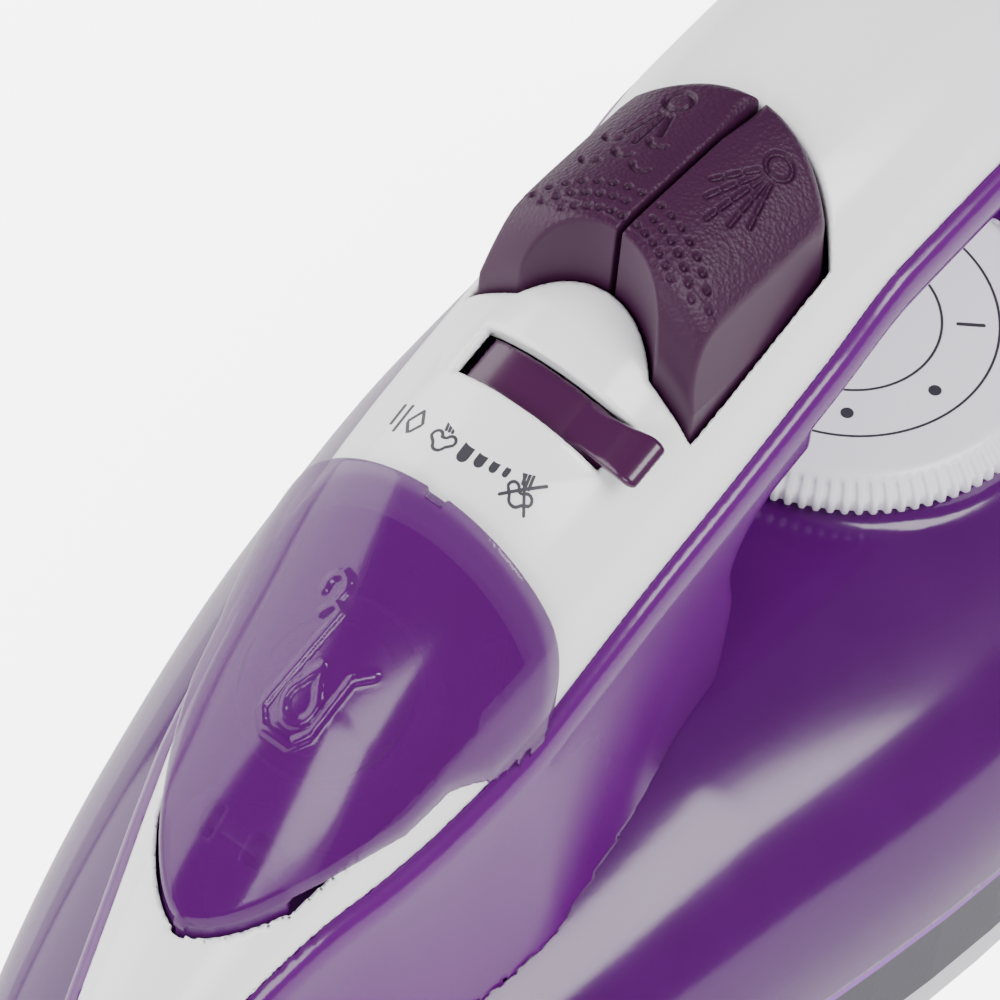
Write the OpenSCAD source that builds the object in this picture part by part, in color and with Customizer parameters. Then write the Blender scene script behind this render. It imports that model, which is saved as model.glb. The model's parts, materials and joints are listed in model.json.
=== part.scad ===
// Steam iron with an integral water tank: soleplate, tank, hollow handle and controls.
// X points to the nose, Y to the user's left, Z up; the soleplate stands on z = 0.

/* [Shells] */
// Wall thickness of the handle and its cover
wall = 2.4; // [2:0.1:2.6]
// Wall thickness of the clear tank
tank_wall = 2.4; // [2:0.1:2.8]
// How far the handle body stands proud of the cover's edge
stripe = 2.5; // [1.5:0.1:3]

/* [Soleplate] */
// Thickness of the cast plate
sole_t = 8; // [7:0.5:8]
// Radius of each steam hole
steam_hole_r = 1.4; // [1:0.1:2]
// Radius of the heating element's tube
heater_r = 3.5; // [3:0.1:4]

/* [Push buttons] */
// Stroke of the spray and steam buttons
button_travel = 4; // [3:0.5:4]
// Gap between the two buttons
button_gap = 0.8; // [0.6:0.1:1.2]
// Radius of the thumb crescent at the front of the buttons
crescent_r = 15; // [14.5:0.5:15.5]

/* [Steam slider] */
// Radius of the slider's drum
drum_r = 21; // [20.8:0.1:21]
// Width of the drum along its axle
drum_w = 6.6; // [5.6:0.1:6.6]
// Sweep of the slider, from dry to self-clean
slider_sweep = 55; // [50:1:58]

/* [Lid] */
// Wall thickness of the clear lid
lid_wall = 2; // [1.6:0.1:2.2]
// Radius of the filling port
port_r = 11; // [10:0.5:11.5]

/* [Dial] */
// Outer radius of the temperature dial
dial_r = 31.5; // [30:0.5:31.5]
// Number of grip ribs round the dial
dial_ribs = 60; // [36:6:72]
// Radius of the thermostat's shaft
shaft_r = 3; // [2.5:0.1:3.2]

/* [Cord inlet] */
// Radius of the swivelling ball
ball_r = 9; // [8.5:0.1:9]
// Radius of the bore for the cord
cord_r = 3.8; // [3:0.1:4]

/* [Hidden] */

fit = 0.05;       // radial clearance of a running fit
eps = 0.01;       // overlap that joins two solids of one piece

// Top line of the cover on the centre plane, as [x, z]
crown_line = [[-145, 96], [-138, 114], [-125, 130], [-100, 143], [-60, 148], [-19, 145],
  [12, 135.5], [46.7, 123.5], [71.5, 106], [95, 82], [112, 64.5], [127, 49.5]];
// Line where the cover meets the handle body, as [x, z]
split_line = [[-145, 92], [-125, 118], [-100, 127], [-60, 130], [-23, 127.6], [-7, 121],
  [14, 113.2], [32, 107], [66, 90.5], [84, 82.8], [95, 75], [112, 60.5], [127, 49]];
// Half width of the cover, as [x, y]
cover_line = [[-145, 20], [-100, 21.5], [-23, 22.6], [32, 22.6], [50, 22.2], [66, 19.9],
  [76.5, 17.6], [84, 15.2], [95, 11.8], [112, 7], [122, 3.4], [127, 0.6]];
// Half width of the base seen from above, as [x, y]
base_line = [[-133, 38], [-129, 45], [-118, 51.5], [-95, 57], [-60, 60], [-20, 58.5], [20, 53],
  [60, 44], [90, 34.5], [115, 23.5], [130, 14], [140, 7], [146.8, 1]];
// Top line of the tank on the centre plane, as [x, z]
tank_line = [[-133, 62], [-120, 66.5], [-60, 68], [20, 67], [60, 60], [90, 52], [115, 42],
  [135, 35], [146.8, 31]];
// Half width of the handle's front column where it meets the tank, as [x, y]
foot_line = [[0, 16], [15, 20], [35, 30], [55, 35.5], [75, 33], [95, 25.5], [112, 17],
  [124, 9], [128, 5]];

tail_end = base_line[0][0];
nose_end = base_line[len(base_line) - 1][0];

grip_low = 114;                 // highest point of the grip's underside
// Underside of the grip on the centre plane, as [x, z]
grip_line = [[-133, 98], [-97, 110], [-60, grip_low], [-30, grip_low - 0.5], [-8, 110], [12, 103]];

tank_z = 29;                    // underside of the clear tank
deck_z = 68;                    // seat of the dial
gap_front = 4;                  // front end of the finger opening at the deck
gap_rear = -97;                 // rear end of the finger opening
button_top = 148.5;
button_back = -19;
crescent_x = 27;                // centre of the thumb crescent
crown_r = 22.2;                 // crown radius across the buttons
button_half = 18;
button_base_z = 134;            // underside of the buttons' top wall
button_skirt_z = 121.5;
pump_x = -4;
pump_y = 9;
pump_r = 5.6;
pump_z = 115.5;
pump_h = 9;
spring_z = pump_z + pump_h;
slider_x = 21.2;                // middle of the slider's axle
slider_z = 109.5;
slider_tilt = 17;
tab_angle = 31;                 // place of the finger tab on the drum, from the crown
lid_back = 46.7;
lid_front = 96;
lid_wide = 23.6;                // half width of the lid at its wings
lid_round = 4.5;                // corners of the wings
hinge_x = 84;
hinge_z = 88.5;
pin_r = 1.5;
port_x = 67;
port_z = 103.4;
port_tilt = 32;
dial_x = -49;
dial_top = 74.6;
gland_x = -133;
gland_z = 103;
rod_x = 24.6;
rod_top = 96.5;
drip = [14, -9];                // where the steam tube enters the chamber
pad_y = 27;                     // heel pads
pad_z = 40;
cover_screw_y = 15;
cover_screw_z = 78;
sole_inset = 3;
tail_x = -145;
joint_x = -133;                 // where the rear cover meets the shells

// --- functions ---

// Index of the span of points p that holds x
function span(x, p, i = 0) = (i >= len(p) - 2 || x <= p[i + 1][0]) ? i : span(x, p, i + 1);
function rise(p, i) = (p[i + 1][1] - p[i][1]) / (p[i + 1][0] - p[i][0]);
function tangent(p, i) =
  i == 0 ? rise(p, 0) : i == len(p) - 1 ? rise(p, i - 1) :
  let (a = rise(p, i - 1), b = rise(p, i)) a * b <= 0 ? 0 : 2 * a * b / (a + b);
// Smooth curve through the points p, which doesn't overshoot them
function curve(x, p) =
  let (i = span(x, p), h = p[i + 1][0] - p[i][0], t = min(1, max(0, (x - p[i][0]) / h)))
  p[i][1] * (1 + 2 * t) * (1 - t) * (1 - t) + h * tangent(p, i) * t * (1 - t) * (1 - t)
  + p[i + 1][1] * t * t * (3 - 2 * t) - h * tangent(p, i + 1) * t * t * (1 - t);

// Evenly spread values from a to b
function steps(a, b, n) = [for (i = [0:n]) a + (b - a) * i / n];

// Closed ring across the cover at x, inset by d
function cover_ring(x, d, low, n) =
  let (s = curve(x, split_line), w = max(0.3, curve(x, cover_line) - d),
    h = max(0.2, curve(x, crown_line) - d - s))
  concat([[x, -w, s - low]], [for (i = [0:n]) let (a = 180 - 180 * i / n)
    [x, w * cos(a), s + h * sin(a)]], [[x, w, s - low]]);

// Closed ring across the tank at x, inset by d, standing on z = low
function tank_ring(x, d, low, n) =
  let (w = max(0.3, curve(x, base_line) - d), h = max(1, curve(x, tank_line) - d - tank_z))
  concat([[x, -w, low]], [for (i = [0:n]) let (a = 180 - 180 * i / n, c = cos(a), q = sin(a))
    [x, w * sign(c) * pow(abs(c), 0.77), tank_z + h * pow(q, 0.77)]], [[x, w, low]]);

// Closed ring round the grip at x, inset by d, open upward by lift
function grip_ring(x, d, lift, n) =
  let (s = curve(x, split_line), w = curve(x, cover_line) + stripe - d,
    h = s - 4 - curve(x, grip_line) - d, top = w - stripe * (lift > 0 ? 0 : 1))
  concat([[x, top, s + lift]],
    [for (i = [0:n]) let (a = 180 * i / n) [x, w * cos(a), s - 4 - h * sin(a)]],
    [[x, -top, s + lift]]);

// Closed ring round a column at x whose foot is f wide at z = low, inset by d
function column_ring(x, d, lift, f, low, n) =
  let (s = curve(x, split_line), w = curve(x, cover_line) + stripe - d,
    top = w - stripe * (lift > 0 ? 0 : 1), drop = s - 4 - low)
  concat([[x, top, s + lift]],
    [for (i = [0:n]) let (t = i / n) [x, w + (f - d - w) * pow(t, 1.7), s - 4 - drop * t]],
    [for (i = [n:-1:0]) let (t = i / n) [x, -(w + (f - d - w) * pow(t, 1.7)), s - 4 - drop * t]],
    [[x, -top, s + lift]]);

// Half width of the rear column at its foot
function rear_foot(x) = 34 - 0.004 * pow(x - joint_x, 2);

// --- shared shapes ---

// Solid through a list of closed rings, each a list of the same number of points
module loft(rings) {
  n = len(rings[0]);
  m = len(rings);
  polyhedron(
    points = [for (r = rings) each r],
    faces = concat(
      [[for (j = [n - 1:-1:0]) j]],
      [for (i = [0:m - 2], j = [0:n - 1]) let (k = (j + 1) % n, a = i * n, b = a + n)
        each [[a + j, b + k, b + j], [a + j, a + k, b + k]]],
      [[for (j = [0:n - 1]) (m - 1) * n + j]]));
}

// One closed mesh of its children
module shell_mesh() {
  resize([0, 0, 0]) children();
}

// Plan of the base, inset by d
module plan(d = 0, n = 34) {
  a = tail_end + d;
  b = nose_end - 2.2 * d;
  xs = [for (i = [0:n]) let (t = 0.5 - 0.5 * cos(180 * i / n)) a + (b - a) * t];
  half = [for (x = xs) let (u = tail_end + (x - a) * (nose_end - tail_end) / (b - a))
    [x, max(0.4, curve(u, base_line) - d * min(1, (nose_end - u) / 8))]];
  polygon(concat(half, [for (i = [n:-1:0]) [half[i][0], -half[i][1]]]));
}

// Slot with round ends between two points on the X axis
module stadium(x0, x1, r) {
  translate([x0, 0]) circle(r, $fn = 48);
  translate([x1, 0]) circle(r, $fn = 48);
  translate([x0, -r]) square([x1 - x0, 2 * r]);
}

// Ring standing on z = 0
module ring(outer, inner, h) {
  difference() {
    cylinder(r = outer, h = h, $fn = 64);
    translate([0, 0, -1]) cylinder(r = inner, h = h + 2, $fn = 64);
  }
}

// Round tube swept along points
module tube(path, r, n = 8) {
  m = len(path);
  dirs = [for (i = [0:m - 1]) let (d = path[min(m - 1, i + 1)] - path[max(0, i - 1)]) d / norm(d)];
  rings = [for (i = [0:m - 1]) let (t = dirs[i],
      u0 = cross(t, abs(t[1]) > 0.9 ? [1, 0, 0] : [0, 1, 0]), u = u0 / norm(u0), v = cross(t, u))
    [for (j = [0:n - 1]) path[i] + r * (cos(360 * j / n) * v + sin(360 * j / n) * u)]];
  loft(rings);
}

// Frame of the slider: its axle along X, its crown along Z
module slider_frame() {
  translate([slider_x, 0, slider_z]) rotate([0, slider_tilt, 0]) children();
}

// Part of a ring about the X axis, between angles measured from the crown towards +Y
module drum_sector(outer, inner, w, from, to) {
  rotate([0, 90, 0]) rotate([0, 0, 180 - to]) translate([0, 0, -w / 2])
    rotate_extrude(angle = to - from, $fn = 96) translate([inner, 0]) square([outer - inner, w]);
}

// Plan of both buttons, grown by d
module button_plan(d = 0) {
  difference() {
    union() {
      intersection() {
        translate([button_back - d, -button_half - d]) square([36 + d, 2 * (button_half + d)]);
        translate([button_back + 24, 0]) circle(24 + d, $fn = 96);
      }
      translate([-8, -button_half - d]) square([25 + d, 2 * (button_half + d)]);
    }
    translate([crescent_x, 0]) circle(crescent_r - d, $fn = 96);
  }
}

// Half width of the lid at x, seen from above
function lid_half(x) =
  let (t = (x - lid_back) / (lid_front - lid_back), q = max(0, lid_round - x + lid_back))
  lid_wide * pow(max(0.002, 1 - pow(max(0, t), 2.3)), 0.62)
  - lid_round + sqrt(max(0, lid_round * lid_round - q * q));

// Plan of the lid, inset by d
module lid_plan(d = 0, n = 14) {
  a = lid_back + d;
  b = lid_front - 1.3 * d;
  half = [for (i = [0:n]) let (t = sin(90 * i / n), x = a + (b - a) * t)
    [x, max(0.6, (lid_wide - 1.2) * pow(1 - pow(t, 2.3), 0.62) - d)]];
  polygon(concat(half, [for (i = [n:-1:0]) [half[i][0], -half[i][1]]]));
}

module screw(h, r = 1.6) {
  cylinder(r = r, h = h, $fn = 24);
  difference() {
    translate([0, 0, -2.2]) cylinder(r = 3, h = 2.2, $fn = 32);
    for (a = [0, 90]) rotate([0, 0, a]) translate([-2, -0.5, -2.4]) cube([4, 1, 1.4]);
  }
}

// --- soleplate and heater ---

base_screw_spots = [[-112, 26], [-112, -26], [46, 32], [46, -32]];

module soleplate() {
  color([0.80, 0.80, 0.82]) difference() {
    union() {
      linear_extrude(sole_t) plan(sole_inset);
      translate([0, 0, sole_t - eps]) linear_extrude(6 + eps) difference() {
        stadium(-20, 72, 17);
        stadium(-20, 72, 14);
      }
    }
    for (x = [-8:12:76], y = [-9, 0, 9])
      translate([x, y, -1]) cylinder(r = steam_hole_r, h = sole_t + 2, $fn = 24);
    for (i = [0:4], s = [-1, 1])
      translate([96 - 17 * i, s * (24 + 4.2 * i), -1])
        cylinder(r = steam_hole_r, h = 3.5, $fn = 24);
    heater_path(heater_r + fit);
    for (p = base_screw_spots) translate([p[0], p[1], 2]) cylinder(r = 1.6, h = 20, $fn = 24);
  }
}

module heater_path(r) {
  translate([70, 0, sole_t]) rotate([0, 0, -90])
    rotate_extrude(angle = 180, $fn = 72) translate([22.5, 0]) circle(r, $fn = 32);
  for (s = [-1, 1]) translate([-84, 22.5 * s, sole_t]) rotate([0, 90, 0])
    cylinder(r = r, h = 154, $fn = 32);
}

module heating_element() {
  color([0.45, 0.43, 0.42]) union() {
    heater_path(heater_r);
    for (s = [-1, 1]) translate([-94, 22.5 * s, sole_t + heater_r]) rotate([0, 90, 0])
      cylinder(r = 1.2, h = 12, $fn = 24);
  }
}

module steam_chamber_cover() {
  color([0.72, 0.72, 0.74]) translate([0, 0, sole_t + 6]) difference() {
    linear_extrude(1.6) stadium(-20, 72, 16.6);
    translate([rod_x, 0, -1]) cylinder(r = 5, h = 4, $fn = 48);
    for (x = [-28, 80]) translate([x, 0, -1]) cylinder(r = 1.4, h = 4, $fn = 24);
    translate([drip[0], drip[1], -1]) cylinder(r = 1.6, h = 4, $fn = 32);
  }
}

module thermostat() {
  color([0.85, 0.82, 0.74]) difference() {
    union() {
      translate([dial_x - 10, -8, sole_t]) cube([20, 16, 3]);
      translate([dial_x - 11, -4, sole_t + 3]) cube([22, 8, 1]);
      translate([dial_x, 0, sole_t + 3]) cylinder(r = 6.5, h = 9, $fn = 48);
    }
    translate([dial_x, 0, sole_t + 5]) cylinder(r = shaft_r + fit, h = 20, $fn = 48);
  }
}

module thermal_fuse() {
  color([0.75, 0.72, 0.66]) translate([-92, 0, sole_t + 3]) rotate([0, 90, 0]) union() {
    cylinder(r = 3, h = 18, $fn = 32);
    translate([0, 0, -8]) cylinder(r = 0.8, h = 34, $fn = 16);
  }
}

module heat_shield() {
  color([0.16, 0.15, 0.18]) difference() {
    union() {
      translate([0, 0, sole_t + 1.5]) linear_extrude(tank_z - 3 - sole_t - 1.5) difference() {
        plan(1.6);
        plan(4.4);
      }
      translate([0, 0, tank_z - 5.2]) linear_extrude(2.2) plan(2);
      for (p = base_screw_spots) translate([p[0], p[1], sole_t])
        cylinder(r = 4.5, h = tank_z - 3 - sole_t, $fn = 32);
    }
    translate([dial_x, 0, 20]) cylinder(r = 8.4, h = 10, $fn = 48);
    translate([rod_x, 0, 20]) cylinder(r = 6, h = 10, $fn = 48);
    translate([drip[0], drip[1], 20]) cylinder(r = 1.6, h = 10, $fn = 32);
    translate([-104, -6, 20]) cube([10, 12, 10]);
    for (p = base_screw_spots) translate([p[0], p[1], 0]) {
      cylinder(r = 1.6, h = 40, $fn = 24);
      translate([0, 0, tank_z - 3 - 2.4]) cylinder(r = 3.1, h = 5, $fn = 32);
    }
  }
}

// --- water tank ---

module tank_base() {
  color([0.35, 0.1, 0.5]) difference() {
    translate([0, 0, tank_z - 3]) union() {
      linear_extrude(2) plan(0.8);
      translate([0, 0, 1]) linear_extrude(4) difference() {
        plan(5.2);
        plan(6.8);
      }
    }
    translate([dial_x, 0, 20]) cylinder(r = 8.4, h = 20, $fn = 48);
    translate([rod_x, 0, 20]) cylinder(r = 5, h = 20, $fn = 48);
    translate([drip[0], drip[1], 20]) cylinder(r = 1.6, h = 20, $fn = 32);
    translate([-104, -6, 20]) cube([10, 12, 20]);
  }
}

module tank_gasket() {
  color([0.9, 0.9, 0.88]) translate([0, 0, tank_z - 1]) linear_extrude(1) difference() {
    plan(0.9);
    plan(4);
  }
}

tank_xs = concat([-133, -131, -127], steps(-120, 110, 20), [118, 126, 132, 138, 143, 145]);

module tank_block(d, low) {
  loft([for (x = tank_xs) tank_ring(x + (x < 0 ? d : -2 * d), d, low, 22)]);
}

module tank_shell() {
  color([0.32, 0.04, 0.55, 0.75]) shell_mesh() difference() {
    union() {
      difference() {
        union() {
          tank_block(0, tank_z);
          translate([dial_x, 0, 40]) cylinder(r = 30, h = deck_z - 40 + 0.4, $fn = 64);
        }
        difference() {
          tank_block(tank_wall, tank_z - 1);
          translate([dial_x, 0, 10]) cylinder(r = 8.2, h = 80, $fn = 40);
        }
      }
      translate([dial_x, 0, tank_z - 2.8]) cylinder(r = 8.2, h = 30, $fn = 40);
    }
    translate([dial_x, 0, 10]) cylinder(r = 6.02, h = 80, $fn = 40);
    translate([rod_x, 0, 50]) cylinder(r = 5.5, h = 40, $fn = 32);
    translate([port_x - 5, 0, 50]) cylinder(r = 10.6, h = 40, $fn = 40);
    for (p = [drip, [13, 5], [13, -5]])
      translate([p[0], p[1], 50]) cylinder(r = 1.8, h = 40, $fn = 16);
  }
}

module fill_funnel() {
  color([0.22, 0.05, 0.35]) difference() {
    union() {
      translate([port_x, 0, port_z]) rotate([0, port_tilt, 0]) translate([0, 0, -9])
        cylinder(r = port_r + 2, h = 9, $fn = 72);
      translate([port_x - 5, 0, 52]) cylinder(r = 9, h = 46, $fn = 64);
    }
    translate([port_x, 0, port_z]) rotate([0, port_tilt, 0]) translate([0, 0, -7])
      cylinder(r = port_r, h = 20, $fn = 72);
    translate([port_x - 5, 0, 50]) cylinder(r = 7.2, h = 47, $fn = 64);
  }
}

module funnel_seal() {
  color([0.2, 0.2, 0.2]) translate([port_x - 5, 0, 56])
    ring(10.5, 9, 4);
}

// --- handle ---

module finger_gap(d = 0) {
  rotate([90, 0, 0]) translate([0, 0, -70]) linear_extrude(140) offset(r = 11 + d, $fn = 32)
    offset(delta = -11) polygon([[gap_rear, 40], [gap_rear, grip_low - 2], [gap_rear + 14, grip_low],
      [-30, grip_low], [-8, grip_low - 3.5], [gap_front + 10, 104], [gap_front + 5, 88],
      [gap_front, 40]]);
}

rear_xs = steps(joint_x, -88, 8);
middle_xs = steps(-82, -8, 12);
front_xs = concat(steps(-2, 118, 24), [121, 124, 127.4]);

// The grip and the two columns, which share their side walls
module handle_block(d, lift) {
  loft([for (x = concat(rear_xs, middle_xs, [-2, 3, 8])) grip_ring(x, d, lift, 14)]);
  loft([for (x = front_xs) if (x < 128 - 3 * d) column_ring(x, d, lift, curve(x, foot_line),
    max(26, 0.55 * curve(x, tank_line)), 9)]);
  loft([for (x = rear_xs) column_ring(x, d, lift, rear_foot(x), 40, 9)]);
}

module slider_relief() {
  slider_frame() rotate([0, 90, 0]) translate([0, 0, -drum_w / 2 - 0.4])
    cylinder(r = drum_r + 0.35, h = drum_w + 0.8, $fn = 72);
}

module handle_body() {
  color([0.38, 0.06, 0.55]) shell_mesh() difference() {
    handle_block(0, 0);
    difference() {
      handle_block(wall, 12);
      finger_gap(wall);
      translate([joint_x - 5, -60, 20]) cube([5 + wall, 120, 110]);
    }
    finger_gap();
    tank_block(-0.1, tank_z - 20);
    slider_relief();
    translate([-150, -60, 20]) cube([17.2, 120, 110]);
    translate([gland_x - 10, 0, gland_z]) rotate([0, 90, 0]) cylinder(r = 13.1, h = 22, $fn = 48);
    for (s = [-1, 1]) translate([tail_x, s * cover_screw_y, cover_screw_z]) rotate([0, 90, 0])
      cylinder(r = 1.8, h = 20, $fn = 24);
    translate(nozzle_at) rotate([0, 62, 0]) cylinder(r = 3.3, h = 12, $fn = 32);
    translate(nozzle_at) rotate([0, -70, 0]) cylinder(r = 2.8, h = 12, $fn = 16);
  }
}

// Opening under the lid: a full fit at the front, a ledge under the two wings
module lid_pocket() {
  xs = steps(lid_back + 3, lid_front + 0.8, 20);
  half = [for (x = xs) let (k = min(1, max(0, (x - 58) / 8)))
    [x, max(1, min(curve(x, cover_line) - 1.2, lid_half(x - 0.7) + 0.7 - 5 * (1 - k)))]];
  translate([0, 0, 70]) linear_extrude(70)
    polygon(concat(half, [for (i = [20:-1:0]) [half[i][0], -half[i][1]]]));
}

cover_xs = concat(steps(joint_x, 117, 42), [120, 123, 125.5, 127]);

module top_cover() {
  color([0.93, 0.93, 0.96]) shell_mesh() difference() {
    loft([for (x = cover_xs) cover_ring(x, 0, 0, 24)]);
    loft([for (x = cover_xs) if (x < 122) cover_ring(x + (x < -132 ? -1 : 0), wall, 1, 24)]);
    translate([gap_rear - 8, 0, 130]) cylinder(r = 3.1, h = 30, $fn = 32);
    translate([0, 0, 60]) linear_extrude(120) button_plan(0.5);
    slider_relief();
    slider_frame() drum_sector(60, 5, drum_w + 0.8, -29, 36);
    lid_pocket();
  }
}

module rear_cover() {
  color([0.93, 0.93, 0.96]) difference() {
    union() {
      translate([tail_x, 0, 0]) rotate([90, 0, 90]) linear_extrude(12) difference() {
        rear_outline(0);
        rear_outline(wall);
      }
      translate([tail_x, 0, 0]) rotate([90, 0, 90]) linear_extrude(3) rear_outline(0);
      for (s = [-1, 1]) translate([tail_x + 2, s * cover_screw_y, cover_screw_z])
        rotate([0, 90, 0]) cylinder(r = 4.5, h = 10, $fn = 40);
    }
    translate([tail_x - 1, 0, gland_z]) rotate([0, 90, 0]) cylinder(r = 13.05, h = 20, $fn = 64);
    for (s = [-1, 1]) translate([tail_x - 1, s * pad_y, pad_z]) rotate([0, 90, 0])
      cylinder(r = 5, h = 6, $fn = 40);
    for (s = [-1, 1]) translate([tail_x, s * cover_screw_y, cover_screw_z]) rotate([0, 90, 0]) {
      translate([0, 0, -1]) cylinder(r = 3.2, h = 3.8, $fn = 40);
      cylinder(r = 1.6, h = 20, $fn = 24);
    }
  }
}

// Half width of the shells' rear end at height z
function rear_half(z) =
  let (s = curve(joint_x, split_line), c = curve(joint_x, crown_line),
    w = curve(joint_x, cover_line), tank_h = curve(joint_x, tank_line) - tank_z,
    q = min(1, max(0, z - tank_z) / tank_h), t = min(1, (s - 4 - z) / (s - 4 - 40)),
    tank_y = base_line[0][1] * pow(1 - pow(q, 2.6), 0.385),
    column_y = z < 40 || z > s - 4 ? w + stripe :
      w + stripe + (rear_foot(joint_x) - w - stripe) * pow(max(0, t), 1.7),
    cover_y = (w + stripe) * sqrt(max(0.01, 1 - pow(max(0, z - s + 4) / (c - s + 4), 2))))
  z > s - 4 ? cover_y : max(tank_y, column_y);

// Outline of the rear cover, inset by d
module rear_outline(d) {
  zs = steps(tank_z - 3 + d, curve(joint_x, crown_line) - d, 28);
  half = [for (z = zs) [max(1, rear_half(z) - d), z]];
  polygon(concat(half, [for (i = [28:-1:0]) [-half[i][0], half[i][1]]]));
}

module heel_pads() {
  color([0.15, 0.13, 0.16]) for (s = [-1, 1])
    translate([tail_x, s * pad_y, pad_z]) rotate([0, 90, 0]) cylinder(r = 5, h = 4, $fn = 40);
}

// --- spray ---

bracket_x = 8.4;                // bulkhead that holds the slider's axle
nozzle_at = [125.5, 0, 45];
port_end = pump_x + pump_r + 1.8;

module spray_nozzle() {
  color([0.93, 0.93, 0.96]) translate(nozzle_at) rotate([0, 62, 0]) difference() {
    union() {
      cylinder(r = 3.2, h = 8, $fn = 48);
      translate([0, 0, 8]) cylinder(r1 = 3.2, r2 = 2.2, h = 2, $fn = 48);
    }
    translate([0, 0, -1]) cylinder(r = 1.2, h = 9, $fn = 32);
    cylinder(r = 0.4, h = 12, $fn = 16);
  }
}

module nozzle_ring() {
  color([0.75, 0.75, 0.78]) translate(nozzle_at) rotate([0, 62, 0]) translate([0, 0, 4])
    ring(5, 3.2, 3);
}

// Smooth route through hand-chosen points, k steps between each two
function route(p, k = 3) = [for (i = [0:(len(p) - 1) * k])
  [for (c = [0:2]) curve(i / k, [for (j = [0:len(p) - 1]) [j, p[j][c]]])]];

module spray_tube() {
  color([0.85, 0.85, 0.85]) tube(route([[port_end + 0.2, pump_y, pump_z + 3], [8, pump_y, 115.5],
    [12.5, 9, 113], [16, 9, 106], [17, 9, 96], [24, 11, 86], [36, 15, 78], [50, 17, 70],
    [66, 17, 66], [82, 13, 61.5], [98, 8, 57], [112, 4, 52], [nozzle_at[0] - 4, 0.5, 46.5],
    nozzle_at]), 1.1);
}

module steam_tube() {
  color([0.85, 0.85, 0.85]) tube(route([[port_end + 0.2, -pump_y, pump_z + 3], [8, -pump_y, 115.5],
    [12.5, -9, 113], [16, -9, 106], [17, -9, 92], [14.2, -9, 72], [drip[0], drip[1], 50],
    [drip[0], drip[1], 30], [drip[0], drip[1], sole_t + 6]]), 1.3);
}

module suction_tube() {
  color([0.85, 0.85, 0.85]) for (s = [-1, 1])
    tube(route([[pump_x + 5.6, s * 5, pump_z + 3], [6, s * 5, 115.5], [12, s * 5, 112],
      [15, s * 4.8, 106], [15.5, s * 5, 92], [13.2, s * 5, 72], [12.8, s * 5, 55], [10, s * 5, 38]]), 1.1);
}

module pump(s) {
  translate([pump_x, s * pump_y, pump_z]) difference() {
    union() {
      cylinder(r = pump_r, h = pump_h, $fn = 48);
      translate([0, 0, 3]) rotate([0, 90, 0]) cylinder(r = 2, h = pump_r + 1.8, $fn = 32);
      translate([0, -s * 4, 3]) rotate([0, 90, 0]) cylinder(r = 1.9, h = 4.8, $fn = 32);
    }
    translate([0, 0, 1.4]) cylinder(r = 4 + fit, h = 20, $fn = 48);
    translate([0, 0, 3]) rotate([0, 90, 0]) cylinder(r = 1, h = 20, $fn = 24);
  }
}

module spray_pump() {
  color([0.9, 0.9, 0.86]) pump(1);
}

module steam_pump() {
  color([0.9, 0.9, 0.86]) pump(-1);
}

module plunger(s) {
  translate([pump_x, s * pump_y, 0]) union() {
    translate([0, 0, pump_z + 1.8 + button_travel]) cylinder(r = 4, h = 2.6, $fn = 48);
    translate([0, 0, pump_z + 7]) cylinder(r = 1.8, h = button_base_z - pump_z - 7, $fn = 32);
    translate([0, 0, button_base_z - 1.2]) cylinder(r = 5.4, h = 1.2, $fn = 48);
  }
}

module spray_plunger() {
  color([0.82, 0.82, 0.8]) plunger(1);
}

module steam_plunger() {
  color([0.82, 0.82, 0.8]) plunger(-1);
}

module spring(s) {
  turns = 4;
  r = 4.4;
  h = button_base_z - 1.2 - spring_z - 1.1;
  translate([pump_x, s * pump_y, spring_z + 0.55])
    tube([for (i = [0:turns * 14]) let (a = 360 * i / 14)
      [r * cos(a), r * sin(a), h * i / (turns * 14)]], 0.45, 6);
}

module spray_spring() {
  color([0.8, 0.8, 0.82]) spring(1);
}

module steam_spring() {
  color([0.8, 0.8, 0.82]) spring(-1);
}

// Plan of one button, inset by d
module button_half_plan(s, d) {
  intersection() {
    button_plan(-d);
    translate([-40, s > 0 ? button_gap / 2 + d : -40 - button_gap / 2 - d]) square([80, 40]);
  }
}

// Outer form of one button: crowned top and crescent front
module button_form(s) {
  intersection() {
    translate([0, 0, button_skirt_z]) linear_extrude(30) button_half_plan(s, 0);
    translate([-30, 0, button_top - crown_r]) rotate([0, 90, 0])
      cylinder(r = crown_r, h = 60, $fn = 96);
    translate([0, 60, 0]) rotate([90, 0, 0]) linear_extrude(120) hull()
      for (x = [-40, 5]) translate([x, button_top - 70]) circle(70, $fn = 160);
  }
}

// One button: its form hollowed from below, leaving a wall all round
module button(s) {
  difference() {
    button_form(s);
    translate([0, 0, button_skirt_z - 1]) linear_extrude(button_base_z - button_skirt_z + 1)
      button_half_plan(s, 2);
  }
}

module spray_button() {
  color([0.33, 0.14, 0.33]) button(1);
}

module steam_button() {
  color([0.33, 0.14, 0.33]) button(-1);
}

// --- steam control ---

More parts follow.
